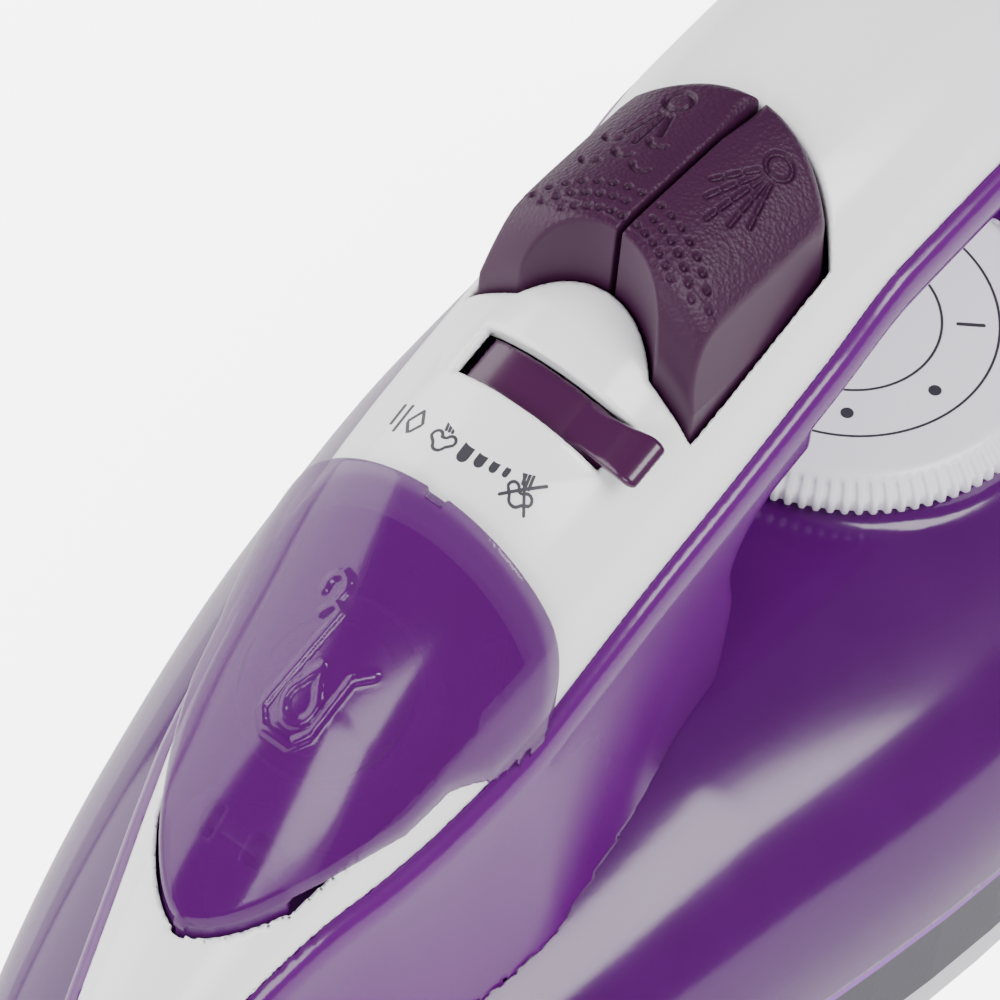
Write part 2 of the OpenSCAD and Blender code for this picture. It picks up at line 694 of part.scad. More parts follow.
module steam_slider() {
  color([0.33, 0.14, 0.33]) slider_frame() difference() {
    union() {
      drum_sector(drum_r, drum_r - 2.4, drum_w, -27, 33 + slider_sweep);
      drum_sector(drum_r - 2.4 + eps, 4, 2.4, -27, 33 + slider_sweep);
      rotate([0, 90, 0]) translate([0, 0, -drum_w / 2]) cylinder(r = 5, h = drum_w, $fn = 48);
      rotate([0, 90, 0]) translate([-1.8, 0, drum_w / 2 - eps]) cylinder(r = 5, h = 4, $fn = 48);
      drum_sector(drum_r + 6.4, drum_r - 1, drum_w - 0.8, tab_angle - 5, tab_angle + 3);
      translate([-5, 0, 0]) drum_sector(drum_r + 6.4, drum_r + 2.9, drum_w + 3,
        tab_angle - 5, tab_angle + 3);
    }
    rotate([0, 90, 0]) translate([0, 0, -20]) cylinder(r = 2 + fit, h = 40, $fn = 48);
  }
}

module slider_axle() {
  color([0.7, 0.7, 0.72]) slider_frame() rotate([0, 90, 0]) {
    translate([0, 0, -drum_w / 2 - 1.7]) cylinder(r = 3.4, h = 1.4, $fn = 48);
    translate([0, 0, -drum_w / 2 - 0.4]) cylinder(r = 2, h = drum_w + 9, $fn = 48);
  }
}

module slider_bracket() {
  color([0.2, 0.18, 0.22]) slider_frame() difference() {
    union() {
      translate([bracket_x, -20, -8]) cube([2.4, 40, 7]);
      translate([bracket_x, 0, 0]) rotate([0, 90, 0]) cylinder(r = 6, h = 2.4, $fn = 48);
      translate([bracket_x, -6, -6]) cube([2.4, 12, 6]);
      for (s = [-1, 1]) translate([bracket_x, s * 20.9 - 1.6, -8]) cube([2.4, 3.2, 6]);
    }
    translate([bracket_x - 1, 0, 0]) rotate([0, 90, 0]) cylinder(r = 2, h = 5, $fn = 48);
  }
}

module steam_valve_rod() {
  color([0.75, 0.75, 0.77]) translate([rod_x, 0, 0]) union() {
    translate([0, 0, 18]) cylinder(r1 = 0.6, r2 = 1.5, h = 3, $fn = 32);
    translate([0, 0, 21]) cylinder(r = 1.5, h = rod_top - 21, $fn = 32);
    translate([0, 0, rod_top - 1.6]) cylinder(r = 1.9, h = 1.6, $fn = 32);
  }
}

module valve_seat() {
  color([0.2, 0.2, 0.2]) translate([rod_x, 0, 0]) difference() {
    union() {
      translate([0, 0, sole_t + 6.4]) cylinder(r = 4.9, h = tank_z - sole_t - 7, $fn = 48);
      translate([0, 0, tank_z - 1]) cylinder(r = 6.5, h = 2.5, $fn = 48);
    }
    cylinder(r = 1.5 + fit, h = 60, $fn = 48);
  }
}

// --- filling lid ---

// Height of the lid's outer surface
function lid_top(x, y) =
  let (t = (x - lid_back) / (lid_front - lid_back), s = curve(x, split_line),
    a = curve(min(x, 94), cover_line) + 2.8 - 1.8 * t,
    c = curve(x, crown_line) + 2.6 - t)
  s + (c - s) * sqrt(max(0.005, 1 - y * y / (a * a)));

// Closed ring across the lid at x, thinner at its rim
function lid_section(x, n = 20) =
  let (w = max(2, lid_half(x)), ys = [for (i = [0:n]) w * (2 * i / n - 1)])
  concat([for (y = ys) [x, y, lid_top(x, y)]],
    [for (i = [n:-1:0]) [x, ys[i],
      lid_top(x, ys[i]) - lid_wall * (1 - 0.5 * pow(abs(2 * i / n - 1), 6))]]);

lid_xs = concat([for (t = [0, 0.4, 1.2, 2.6]) lid_back + t], steps(lid_back + 4.5, 90, 11),
  [93, 95, 96]);

module lid() {
  color([0.32, 0.04, 0.55, 0.75]) difference() {
    union() {
      shell_mesh() loft([for (x = lid_xs) lid_section(x)]);
      for (s = [-1, 1]) translate([hinge_x, s * 4 + 1.25, hinge_z]) rotate([90, 0, 0]) {
        cylinder(r = 2.8, h = 2.5, $fn = 48);
        rotate([0, 0, -53]) translate([-2.3, 0, 0]) cube([4.6, 3.4, 2.5]);
      }
    }
    translate([hinge_x, 7, hinge_z]) rotate([90, 0, 0])
      cylinder(r = pin_r + fit, h = 14, $fn = 48);
  }
}

module lid_seal() {
  color([0.1, 0.1, 0.12]) translate([port_x, 0, port_z]) rotate([0, port_tilt, 0])
    translate([0, 0, 0.4]) ring(port_r + 1.2, port_r - 1.6, 1.6);
}

module lid_hinge_pin() {
  color([0.8, 0.8, 0.82]) translate([hinge_x, ear_out, hinge_z]) rotate([90, 0, 0])
    cylinder(r = pin_r, h = 2 * ear_out, $fn = 48);
}

ear_in = 5.6;                   // faces of the frame's hinge ears
ear_out = 7.7;
frame_z = 71.5;

module lid_frame() {
  color([0.22, 0.05, 0.35]) difference() {
    union() {
      translate([0, 0, frame_z]) linear_extrude(2.4) lid_plan(4.5);
      for (s = [-1, 1]) hull() {
        translate([hinge_x, (s > 0 ? ear_out : -ear_in), hinge_z]) rotate([90, 0, 0])
          cylinder(r = 2.2, h = ear_out - ear_in, $fn = 32);
        translate([hinge_x - 15, s > 0 ? ear_in : -ear_out, frame_z + 1])
          cube([5, ear_out - ear_in, 1]);
      }
    }
    translate([port_x - 5, 0, 60]) cylinder(r = 9.05, h = 20, $fn = 64);
    translate([hinge_x, 10, hinge_z]) rotate([90, 0, 0]) cylinder(r = pin_r, h = 20, $fn = 48);
  }
}

// --- temperature dial ---

module dial() {
  color([0.93, 0.93, 0.96]) translate([dial_x, 0, deck_z + 0.8]) difference() {
    intersection() {
      rotate_extrude($fn = 120) polygon([[0, 0], [dial_r - 0.6, 0], [dial_r, 0.6],
        [dial_r, 2.6], [dial_r - 4.2, dial_top - deck_z - 0.8], [0, dial_top - deck_z - 0.8]]);
      linear_extrude(10) polygon([for (i = [0:4 * dial_ribs - 1])
        let (a = 90 * i / dial_ribs, r = dial_r + 0.2 - (i % 4 < 2 ? 0 : 0.9)) r * [cos(a), sin(a)]]);
    }
    translate([0, 0, -1]) cylinder(r = shaft_r, h = 5, $fn = 48);
  }
}

module dial_shaft() {
  color([0.8, 0.8, 0.82]) translate([dial_x, 0, sole_t + 5.4])
    cylinder(r = shaft_r, h = deck_z + 4 - sole_t - 5.4 + 0.8, $fn = 48);
}

module dial_bush() {
  color([0.3, 0.3, 0.3]) translate([dial_x, 0, deck_z - 9]) ring(6, shaft_r + fit, 9);
}

// --- electrics and cord inlet ---

module pilot_lamp() {
  color([0.9, 0.5, 0.2]) translate([gap_rear - 8, 0, 118]) cylinder(r = 2.2, h = 18, $fn = 32);
}

module lamp_lens() {
  color([0.9, 0.3, 0.1]) translate([gap_rear - 8, 0, 136.4]) cylinder(r = 3, h = 7.4, $fn = 32);
}

module terminal_block() {
  color([0.9, 0.88, 0.8]) difference() {
    translate([-118, -11, 72]) cube([12, 22, 12]);
    for (y = [-7, 0, 7]) {
      translate([-119, y, 78]) rotate([0, 90, 0]) cylinder(r = 1.4, h = 14, $fn = 24);
      translate([-112, y, 78]) cylinder(r = 1.5, h = 10, $fn = 24);
    }
  }
}

module gland_socket() {
  color([0.2, 0.18, 0.22]) translate([gland_x, 0, gland_z]) rotate([0, 90, 0]) difference() {
    translate([0, 0, -8]) cylinder(r = 13, h = 16, $fn = 64);
    sphere(r = ball_r + fit, $fn = 64);
    translate([0, 0, -20]) cylinder(r1 = 16, r2 = 6, h = 17, $fn = 64);
    cylinder(r = 6.5, h = 30, $fn = 48);
  }
}

module cord_gland() {
  color([0.2, 0.18, 0.22]) translate([gland_x, 0, gland_z]) rotate([0, 90, 0]) difference() {
    union() {
      sphere(r = ball_r, $fn = 64);
      translate([0, 0, -12]) cylinder(r = 5.6, h = 12, $fn = 48);
    }
    translate([0, 0, -30]) cylinder(r = cord_r, h = 60, $fn = 48);
  }
}

// --- fasteners ---

module base_screws() {
  color([0.7, 0.7, 0.72]) for (p = base_screw_spots)
    translate([p[0], p[1], tank_z - 3 - 2.4]) rotate([180, 0, 0]) screw(18);
}

module cover_screws() {
  color([0.7, 0.7, 0.72]) for (s = [-1, 1])
    translate([tail_x + 2.8, s * cover_screw_y, cover_screw_z]) rotate([0, 90, 0]) screw(13);
}

soleplate();
steam_chamber_cover();
heating_element();
thermostat();
thermal_fuse();
heat_shield();
tank_base();
tank_gasket();
tank_shell();
fill_funnel();
funnel_seal();
handle_body();
top_cover();
rear_cover();
heel_pads();
spray_nozzle();
nozzle_ring();
spray_tube();
steam_tube();
suction_tube();
spray_pump();
steam_pump();
spray_plunger();
steam_plunger();
spray_spring();
steam_spring();
spray_button();
steam_button();
steam_slider();
slider_axle();
slider_bracket();
steam_valve_rod();
valve_seat();
lid();
lid_frame();
lid_seal();
lid_hinge_pin();
dial();
dial_shaft();
dial_bush();
pilot_lamp();
lamp_lens();
terminal_block();
gland_socket();
cord_gland();
base_screws();
cover_screws();
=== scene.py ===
"""Steam iron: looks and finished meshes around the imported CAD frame.

Shapes are worked out in millimetres, as in part.scad, and become meshes in metres.
"""
import json
import math

import bpy
import numpy as np
from mathutils import Matrix, Vector


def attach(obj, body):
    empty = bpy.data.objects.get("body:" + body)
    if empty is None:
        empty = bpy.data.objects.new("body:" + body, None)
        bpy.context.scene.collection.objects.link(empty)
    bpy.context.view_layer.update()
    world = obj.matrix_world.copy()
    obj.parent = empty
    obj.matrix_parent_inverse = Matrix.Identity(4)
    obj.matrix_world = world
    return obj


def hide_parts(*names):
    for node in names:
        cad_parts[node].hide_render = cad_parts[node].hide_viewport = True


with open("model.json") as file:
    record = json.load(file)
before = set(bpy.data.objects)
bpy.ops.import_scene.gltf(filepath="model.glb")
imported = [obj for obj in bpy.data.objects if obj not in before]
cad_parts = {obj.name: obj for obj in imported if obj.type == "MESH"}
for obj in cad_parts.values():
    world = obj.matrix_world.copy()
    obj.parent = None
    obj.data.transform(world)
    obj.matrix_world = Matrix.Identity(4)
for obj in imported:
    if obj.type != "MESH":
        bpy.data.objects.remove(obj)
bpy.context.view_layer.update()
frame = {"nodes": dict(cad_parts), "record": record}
NODES = frame["nodes"]
MM = 0.001


# --- profiles, which repeat the points listed in part.scad ---

def curve(points):
    """Smooth curve through [x, value] points, which doesn't overshoot them, as a fast function."""
    x, y = np.array(points, float).T
    h = np.diff(x)
    rise = np.diff(y) / h
    tangent = np.zeros(len(x))
    tangent[0], tangent[-1] = rise[0], rise[-1]
    for i in range(1, len(x) - 1):
        a, b = rise[i - 1], rise[i]
        tangent[i] = 0 if a * b <= 0 else 2 * a * b / (a + b)
    fine = np.arange(x[0], x[-1] + 0.05, 0.05)
    i = np.clip(np.searchsorted(x, fine) - 1, 0, len(x) - 2)
    t = np.clip((fine - x[i]) / h[i], 0, 1)
    value = (y[i] * (1 + 2 * t) * (1 - t) ** 2 + h[i] * tangent[i] * t * (1 - t) ** 2
             + y[i + 1] * t * t * (3 - 2 * t) - h[i] * tangent[i + 1] * t * t * (1 - t))
    return lambda at: np.interp(at, fine, value)


def slope(profile):
    return lambda at: (profile(at + 0.5) - profile(at - 0.5)) / 1.0


crown = curve([[-145, 96], [-138, 114], [-125, 130], [-100, 143], [-60, 148], [-19, 145],
               [12, 135.5], [46.7, 123.5], [71.5, 106], [95, 82], [112, 64.5], [127, 49.5]])
split = curve([[-145, 92], [-125, 118], [-100, 127], [-60, 130], [-23, 127.6], [-7, 121],
               [14, 113.2], [32, 107], [66, 90.5], [84, 82.8], [95, 75], [112, 60.5], [127, 49]])
cover_half = curve([[-145, 20], [-100, 21.5], [-23, 22.6], [32, 22.6], [50, 22.2], [66, 19.9],
                    [76.5, 17.6], [84, 15.2], [95, 11.8], [112, 7], [122, 3.4], [127, 0.6]])
base_half = curve([[-133, 38], [-129, 45], [-118, 51.5], [-95, 57], [-60, 60], [-20, 58.5],
                   [20, 53], [60, 44], [90, 34.5], [115, 23.5], [130, 14], [140, 7], [146.8, 1]])
tank_top = curve([[-133, 62], [-120, 66.5], [-60, 68], [20, 67], [60, 60], [90, 52], [115, 42],
                  [135, 35], [146.8, 31]])
foot_half = curve([[0, 16], [15, 20], [35, 30], [55, 35.5], [75, 33], [95, 25.5], [112, 17],
                   [124, 9], [128, 5]])
GRIP_LOW = 114
grip_under = curve([[-133, 98], [-97, 110], [-60, GRIP_LOW], [-30, GRIP_LOW - 0.5], [-8, 110],
                    [12, 103]])

STRIPE, WALL, TANK_WALL = 2.5, 2.4, 2.4
TANK_Z, DECK_Z = 29, 68
GAP_FRONT, GAP_REAR = 4, -97
JOINT_X = -133
BUTTON_TOP, BUTTON_BACK, BUTTON_HALF, BUTTON_SKIRT = 148.5, -19, 18, 121.5
BUTTON_GAP, CROWN_R = 0.8, 22.2
CRESCENT_X, CRESCENT_R = 27, 15
SLIDER_X, SLIDER_Z, SLIDER_TILT = 21.2, 109.5, math.radians(17)
DRUM_R, DRUM_W, TAB_ANGLE = 21, 6.6, 31
LID_BACK, LID_FRONT, LID_WIDE, LID_ROUND, LID_WALL = 46.7, 96, 23.6, 4.5, 2
PORT_X = 67
HINGE_X, HINGE_Z, PIN_R = 84, 88.5, 1.55
HINGE_ARM = (85.9, 91.2)
DIAL_X, DIAL_TOP, DIAL_RIBS = -49, 74.6, 96
NOZZLE_X, NOZZLE_Z, NOZZLE_TILT, NOZZLE_R = 125.5, 45, math.radians(62), 3.3
GLAND_Z, GLAND_R = 103, 13.1
SCALE_X = 38.6
# Holes through the top of the tank: x, y and radius.
TANK_HOLES = ((24.6, 0, 5.5), (14, -9, 1.8), (13, 5, 1.8), (13, -5, 1.8))
# The heat settings: angle in degrees and number of dots, where 0 is the line for off.
HEAT_MARKS = ((37, 1), (-8, 2), (-53, 3), (-98, 0), (82, 1), (127, 0))


# --- distance fields: negative inside, about the distance in mm ---

def both(a, b, r=0.0):
    """Where a and b overlap, with the edge between them rounded by r."""
    if r <= 0:
        return np.maximum(a, b)
    return np.minimum(np.maximum(a, b), -r) + np.hypot(np.maximum(a + r, 0), np.maximum(b + r, 0))


def either(a, b, r=0.0):
    """a and b joined, with a fillet of r between them."""
    return -both(-a, -b, r)


def cut(a, b, r=0.0):
    """a with b taken out of it, with the edge rounded by r."""
    return both(a, -b, r)


def blend_max(a, b, r):
    """The larger of a and b, with a soft change between them over a width r."""
    h = np.maximum(r - np.abs(a - b), 0) / r
    return np.maximum(a, b) + h * h * r / 4


def blend_min(a, b, r):
    return -blend_max(-a, -b, r)


def polygon(u, v, corners):
    """Signed distance in a plane from the outline through the corners."""
    best = np.full(np.shape(u), 1e9)
    inside = np.ones(np.shape(u))
    corners = np.array(corners, float)
    for (ax, ay), (bx, by) in zip(corners, np.roll(corners, 1, axis=0)):
        ex, ey = bx - ax, by - ay
        wx, wy = u - ax, v - ay
        t = np.clip((wx * ex + wy * ey) / (ex * ex + ey * ey), 0, 1)
        best = np.minimum(best, (wx - ex * t) ** 2 + (wy - ey * t) ** 2)
        above, below = v >= ay, v < by
        left = ex * wy > ey * wx
        flip = (above & below & left) | (~above & ~below & ~left)
        inside = np.where(flip, -inside, inside)
    return inside * np.sqrt(best)


def segment(u, v, a, b):
    """Distance in a plane from the line between points a and b."""
    ex, ey = b[0] - a[0], b[1] - a[1]
    t = np.clip(((u - a[0]) * ex + (v - a[1]) * ey) / (ex * ex + ey * ey + 1e-12), 0, 1)
    return np.hypot(u - a[0] - ex * t, v - a[1] - ey * t)


# --- meshes from fields ---

BLOCK = 8


def gradient(field, p, e):
    g = np.empty_like(p)
    for k in range(3):
        step = np.zeros(3)
        step[k] = e
        g[:, k] = field(*(p + step).T) - field(*(p - step).T)
    return g / (2 * e)


def active_blocks(field, low, high, step):
    """Corner indices of the blocks of cells that the surface may pass through."""
    count = np.ceil((high - low) / step / BLOCK).astype(int)
    index = np.stack(np.meshgrid(*[np.arange(n) for n in count], indexing="ij"), -1).reshape(-1, 3)
    centre = low + (index + 0.5) * BLOCK * step
    return index[np.abs(field(*centre.T)) < BLOCK * step * 1.25] * BLOCK


def surface_net(field, low, high, step):
    """Vertices and four-sided faces of the field's zero surface, one vertex in each crossed cell."""
    low, high = np.asarray(low, float) - 2 * step, np.asarray(high, float) + 2 * step
    blocks = active_blocks(field, low, high, step)
    n = BLOCK + 1
    corner = np.stack(np.meshgrid(*[np.arange(n)] * 3, indexing="ij"), -1).reshape(-1, 3)
    size = (np.ceil((high - low) / step / BLOCK).astype(int) + 1) * BLOCK + 2
    points, keys, edges = [], [], []
    for start in range(0, len(blocks), 1500):
        part = blocks[start:start + 1500]
        grid = part[:, None, :] + corner[None]
        value = field(*(low + grid.reshape(-1, 3) * step).T).reshape(-1, n, n, n)
        total = np.zeros(value[:, :-1, :-1, :-1].shape + (3,))
        count = np.zeros(total.shape[:-1])
        for axis in range(3):
            for da in (0, 1):
                for db in (0, 1):
                    offset = [0, 0, 0]
                    offset[(axis + 1) % 3], offset[(axis + 2) % 3] = da, db
                    ends = []
                    for along in (0, 1):
                        offset[axis] = along
                        ends.append(value[(slice(None),) + tuple(slice(o, o + BLOCK) for o in offset)])
                    crossed = (ends[0] < 0) != (ends[1] < 0)
                    t = np.where(crossed, ends[0] / np.where(crossed, ends[0] - ends[1], 1), 0)
                    offset[axis] = 0
                    for k in range(3):
                        total[..., k] += np.where(crossed, offset[k] + (t if k == axis else 0), 0)
                    count += crossed
                    if da == db == 0:
                        b, i, j, k = np.nonzero(crossed)
                        cell = part[b] + np.stack([i, j, k], -1)
                        edges.append((axis, cell, ends[0][b, i, j, k] < 0))
        b, i, j, k = np.nonzero(count)
        cell = part[b] + np.stack([i, j, k], -1)
        points.append(low + (cell + total[b, i, j, k] / count[b, i, j, k][:, None]) * step)
        keys.append((cell[:, 0] * size[1] + cell[:, 1]) * size[2] + cell[:, 2])
    points, keys = np.concatenate(points), np.concatenate(keys)
    order = np.argsort(keys)
    points, keys = points[order], keys[order]
    quads = []
    for axis, cell, inward in edges:
        ring = []
        for db, dc in ((0, 0), (1, 0), (1, 1), (0, 1)):
            c = cell.copy()
            c[:, (axis + 1) % 3] -= db
            c[:, (axis + 2) % 3] -= dc
            key = (c[:, 0] * size[1] + c[:, 1]) * size[2] + c[:, 2]
            ring.append(np.clip(np.searchsorted(keys, key), 0, len(keys) - 1))
        quad = np.stack(ring, -1)
        quads.append(np.where(inward[:, None], quad, quad[:, ::-1]))
    return points, np.concatenate(quads)


def project(field, points, step, rounds=3):
    """Points moved onto the field's zero surface."""
    for _ in range(rounds):
        g = gradient(field, points, 0.05 * step)
        size = np.maximum((g * g).sum(1), 0.05)
        move = g * (field(*points.T) / size)[:, None]
        length = np.linalg.norm(move, axis=1)
        points = points - move * np.minimum(1, 0.7 * step / np.maximum(length, 1e-9))[:, None]
    return points


def add_mesh(name, points, faces, smooth=True):
    """A new object from points in mm."""
    mesh = bpy.data.meshes.new(name)
    points, faces = np.asarray(points, float) * MM, np.asarray(faces)
    mesh.vertices.add(len(points))
    mesh.vertices.foreach_set("co", points.astype(np.float32).ravel())
    mesh.loops.add(faces.size)
    mesh.loops.foreach_set("vertex_index", faces.astype(np.int32).ravel())
    mesh.polygons.add(len(faces))
    sides = faces.shape[1]
    mesh.polygons.foreach_set("loop_start", np.arange(0, faces.size, sides, dtype=np.int32))
    mesh.polygons.foreach_set("use_smooth", np.full(len(faces), smooth))
    mesh.update(calc_edges=True)
    mesh.validate()
    piece = bpy.data.objects.new(name, mesh)
    bpy.context.scene.collection.objects.link(piece)
    return piece


def solid(name, field, low, high, step):
    """A closed object from a field."""
    points, faces = surface_net(field, low, high, step)
    return add_mesh(name, project(field, points, step), faces)


# --- forms ---

def dome(x, y, z, inset=0.0):
    """The cover's crowned surface, grown inward by inset."""
    s, w = split(x), cover_half(x) - inset
    h = np.maximum(crown(x) - inset - s, 0.5)
    w = np.maximum(w, 0.3)
    up = np.maximum(z - s, 0) / h
    r = np.sqrt((y / w) ** 2 + up ** 2) + 1e-6
    along = (slope(crown)(x) * up * up + slope(split)(x) * (1 - up) * up) / h
    steep = np.sqrt((y / w / w) ** 2 + (up / h) ** 2 + (along) ** 2) / r + 1e-6
    return np.where(up > 0, (r - 1) / np.maximum(steep, 1e-4), np.abs(y) - w)


def button_plan(x, y, grow=0.0):
    """Plan of both buttons together."""
    box_back = both(both(BUTTON_BACK - grow - x, x - (BUTTON_BACK + 36)),
                    np.abs(y) - BUTTON_HALF - grow)
    bow = np.hypot(x - BUTTON_BACK - 24, y) - 24 - grow
    front = both(both(-8 - x, x - 17 - grow), np.abs(y) - BUTTON_HALF - grow)
    whole = either(both(box_back, bow), front)
    return cut(whole, np.hypot(x - CRESCENT_X, y) - CRESCENT_R + grow)


def slider_axes(x, y, z):
    """Coordinates along the slider's axle, across it and up to its crown."""
    dx, dz = x - SLIDER_X, z - SLIDER_Z
    c, s = math.cos(SLIDER_TILT), math.sin(SLIDER_TILT)
    return dx * c - dz * s, y, dx * s + dz * c


def drum_sector(u, v, w, outer, inner, width, start, end):
    """Part of a ring about the slider's axle, between angles from the crown towards +Y."""
    r = np.hypot(v, w)
    middle, spread = math.radians((start + end) / 2), math.radians((end - start) / 2)
    angle = np.abs((np.arctan2(v, w) - middle + math.pi) % (2 * math.pi) - math.pi)
    side = np.where(angle - spread < math.pi / 2, r * np.sin(np.clip(angle - spread, -1.5, 1.5)), r)
    ring = both(r - outer, inner - r)
    return both(both(ring, np.abs(u) - width / 2), side)


def lid_half(x):
    t = np.clip((x - LID_BACK) / (LID_FRONT - LID_BACK), 0, 1)
    q = np.maximum(0, LID_ROUND - x + LID_BACK)
    return (LID_WIDE * np.maximum(0.002, 1 - t ** 1.6) ** 0.6 - LID_ROUND
            + np.sqrt(np.maximum(0, LID_ROUND ** 2 - q * q)))


def lid_opening(x, y):
    """Plan of the opening under the lid."""
    k = np.clip((x - 58) / 8, 0, 1)
    half = np.minimum(cover_half(x) - 2.6, lid_half(x - 0.3) + 0.55 - 5 * (1 - k))
    steep = np.sqrt(1 + np.minimum(slope(lid_half)(x) ** 2, 30))
    return both(both((np.abs(y) - half) / steep, LID_BACK + 3 - x), x - LID_FRONT - 0.8)


def cover_field(x, y, z):
    s = split(x)
    flat = np.sqrt(1 + slope(split)(x) ** 2)
    outer = dome(x, y, z)
    mound = 1.3 * np.clip(1 - ((x - CRESCENT_X + 3) ** 2 + y * y) / 15 ** 2, 0, 1)
    shell = cut(outer - mound, np.maximum(outer + WALL, x - 122))
    shell = both(shell, (s - z) / flat + 0.15, 0.5)
    hole = both(button_plan(x, y, 0.5), 60 - z)
    shell = cut(shell, hole, 0.55)
    u, v, w = slider_axes(x, y, z)
    slot = drum_sector(u, v, w, 60, 5, DRUM_W + 0.8, -29, 36)
    relief = both(np.hypot(v, w) - DRUM_R - 0.35, np.abs(u) - DRUM_W / 2 - 0.4)
    shell = cut(shell, either(slot, relief), 0.5)
    shell = cut(shell, lid_opening(x, y), 0.45)
    shell = cut(shell, both(np.hypot(x - GAP_REAR + 8, y) - 3.1, 130 - z), 0.3)
    return both(both(shell, JOINT_X - x), x - 127.0, 0.3)


def column(x, y, z, half, foot, low, inset=0.0):
    """A column's side walls: half wide at the top and foot wide at z = low."""
    def wall(at):
        t = np.clip((split(at) - 4 - z) / (split(at) - 4 - low(at)), 0, 1.25)
        return half(at) + (foot(at) - half(at)) * t ** 1.7 - inset
    t = np.clip((split(x) - 4 - z) / (split(x) - 4 - low(x)), 0.001, 1.25)
    lean_z = (foot(x) - half(x)) * 1.7 * t ** 0.7 / (split(x) - 4 - low(x))
    lean_x = wall(x + 0.5) - wall(x - 0.5)
    return (np.abs(y) - wall(x)) / np.sqrt(1 + lean_z ** 2 + lean_x ** 2)


def body_half(x):
    return cover_half(x) + STRIPE


def front_low(x):
    return np.maximum(26, 0.55 * tank_top(x))


def rear_foot(x):
    return 34 - 0.004 * (x - JOINT_X) ** 2


def rear_low(x):
    return np.full(np.shape(x), 40.0)


# The finger opening is this outline grown by its corner radius.
GAP_CORNER = 11
GAP_CORE = [[GAP_REAR + GAP_CORNER, 30], [GAP_REAR + GAP_CORNER, 101.5], [-81, 103], [-30.5, 103],
            [-11, 100], [0.2, 96.7], [-1.9, 89.9], [GAP_FRONT - 12, 30]]


def grip(x, y, z, inset=0.0):
    s = split(x) - 4
    h = np.maximum(s - grip_under(np.clip(x, -133, 12)) - inset, 1)
    w = body_half(x) - inset
    down = np.maximum(s - z, 0) / h
    r = np.sqrt((y / w) ** 2 + down ** 2) + 1e-6
    steep = np.sqrt((y / w / w) ** 2 + (down / h) ** 2) / r + 1e-6
    return np.where(down > 0, (r - 1) / np.maximum(steep, 1e-4), np.abs(y) - w)


def handle_walls(x, y, z, inset=0.0):
    """The side walls of the grip and both columns, grown inward by inset."""
    front = column(x, y, z, body_half, foot_half, front_low, inset)
    rear = column(x, y, z, body_half, rear_foot, rear_low, inset)
    front = both(front, -2 + inset - x)
    rear = both(rear, x + 88 + inset)
    return np.minimum(np.minimum(front, rear), both(grip(x, y, z, inset), x - 10))


def tank_form(x, y, z):
    """The tank's outer form, a squared dome on z = TANK_Z."""
    n = 2 / 0.77
    w = np.maximum(base_half(x), 0.4)
    h = np.maximum(tank_top(x) - TANK_Z, 1)
    u, v = np.abs(y) / w, np.maximum(z - TANK_Z, 0) / h
    r = (u ** n + v ** n + 1e-9) ** (1 / n)
    gu, gv = (u / r) ** (n - 1) / w, (v / r) ** (n - 1) / h
    along = ((u / r) ** (n - 1) * u * slope(base_half)(x) / w
             + (v / r) ** (n - 1) * v * slope(tank_top)(x) / h)
    return (r - 1) / np.sqrt(gu ** 2 + gv ** 2 + along ** 2 + 1e-9)


def handle_field(x, y, z):
    flat = np.sqrt(1 + slope(split)(x) ** 2)
    gap = polygon(x, z, GAP_CORE) - GAP_CORNER
    outer = both(handle_walls(x, y, z), -gap, 2.5)
    rim = np.clip((z - split(x) + 4) / 4, 0, 1)
    stripe_half = body_half(x) - 2.4 * (1 - np.sqrt(np.maximum(1 - rim ** 2, 0)))
    outer = np.maximum(outer, np.where(rim > 0, (np.abs(y) - stripe_half) * 0.8, -9))
    hollow = both(handle_walls(x, y, z, WALL + 1.2), WALL - gap)
    body = cut(both(outer, (z - split(x)) / flat, 0.5), both(hollow, outer + 1.2))
    body = cut(body, tank_form(x, y, z) - 0.15)
    u, v, w = slider_axes(x, y, z)
    body = cut(body, both(np.hypot(v, w) - DRUM_R - 0.35, np.abs(u) - DRUM_W / 2 - 0.4))
    aside = (x - NOZZLE_X) * math.cos(NOZZLE_TILT) - (z - NOZZLE_Z) * math.sin(NOZZLE_TILT)
    nozzle = np.hypot(aside, y)
    body = cut(body, both(nozzle - NOZZLE_R, 120 - x), 0.3)
    gland = np.hypot(y, z - GLAND_Z) - GLAND_R
    body = cut(body, both(gland, x + 121))
    return both(both(both(body, JOINT_X + 0.2 - x, 0.4), x - 127.4), TANK_Z - z)


def tank_field(x, y, z):
    outer = tank_form(x, y, z)
    seat = both(np.hypot(x - DIAL_X, y) - 30, z - DECK_Z - 0.4, 0.8)
    seat = both(seat, 40 - z)
    shape = blend_min(outer, seat, 3)
    hollow = both(outer + TANK_WALL, 8.2 - np.hypot(x - DIAL_X, y))
    shape = cut(shape, hollow)
    shape = both(shape, TANK_Z - z, 0.5)
    shape = cut(shape, np.hypot(x - DIAL_X, y) - 6.02)
    shape = cut(shape, both(np.hypot(x - PORT_X + 5, y) - 10.6, 50 - z), 0.4)
    shape = both(shape, x - 144.9, 0.5)
    for px, py, r in TANK_HOLES:
        shape = cut(shape, both(np.hypot(x - px, y - py) - r, 50 - z))
    return shape


# --- icons: strokes in plan, in mm ---

def arc(cx, cy, r, start, end, n=10, squash=1.0):
    return [(cx + r * math.cos(math.radians(start + (end - start) * i / n)),
             cy + squash * r * math.sin(math.radians(start + (end - start) * i / n))) for i in range(n + 1)]


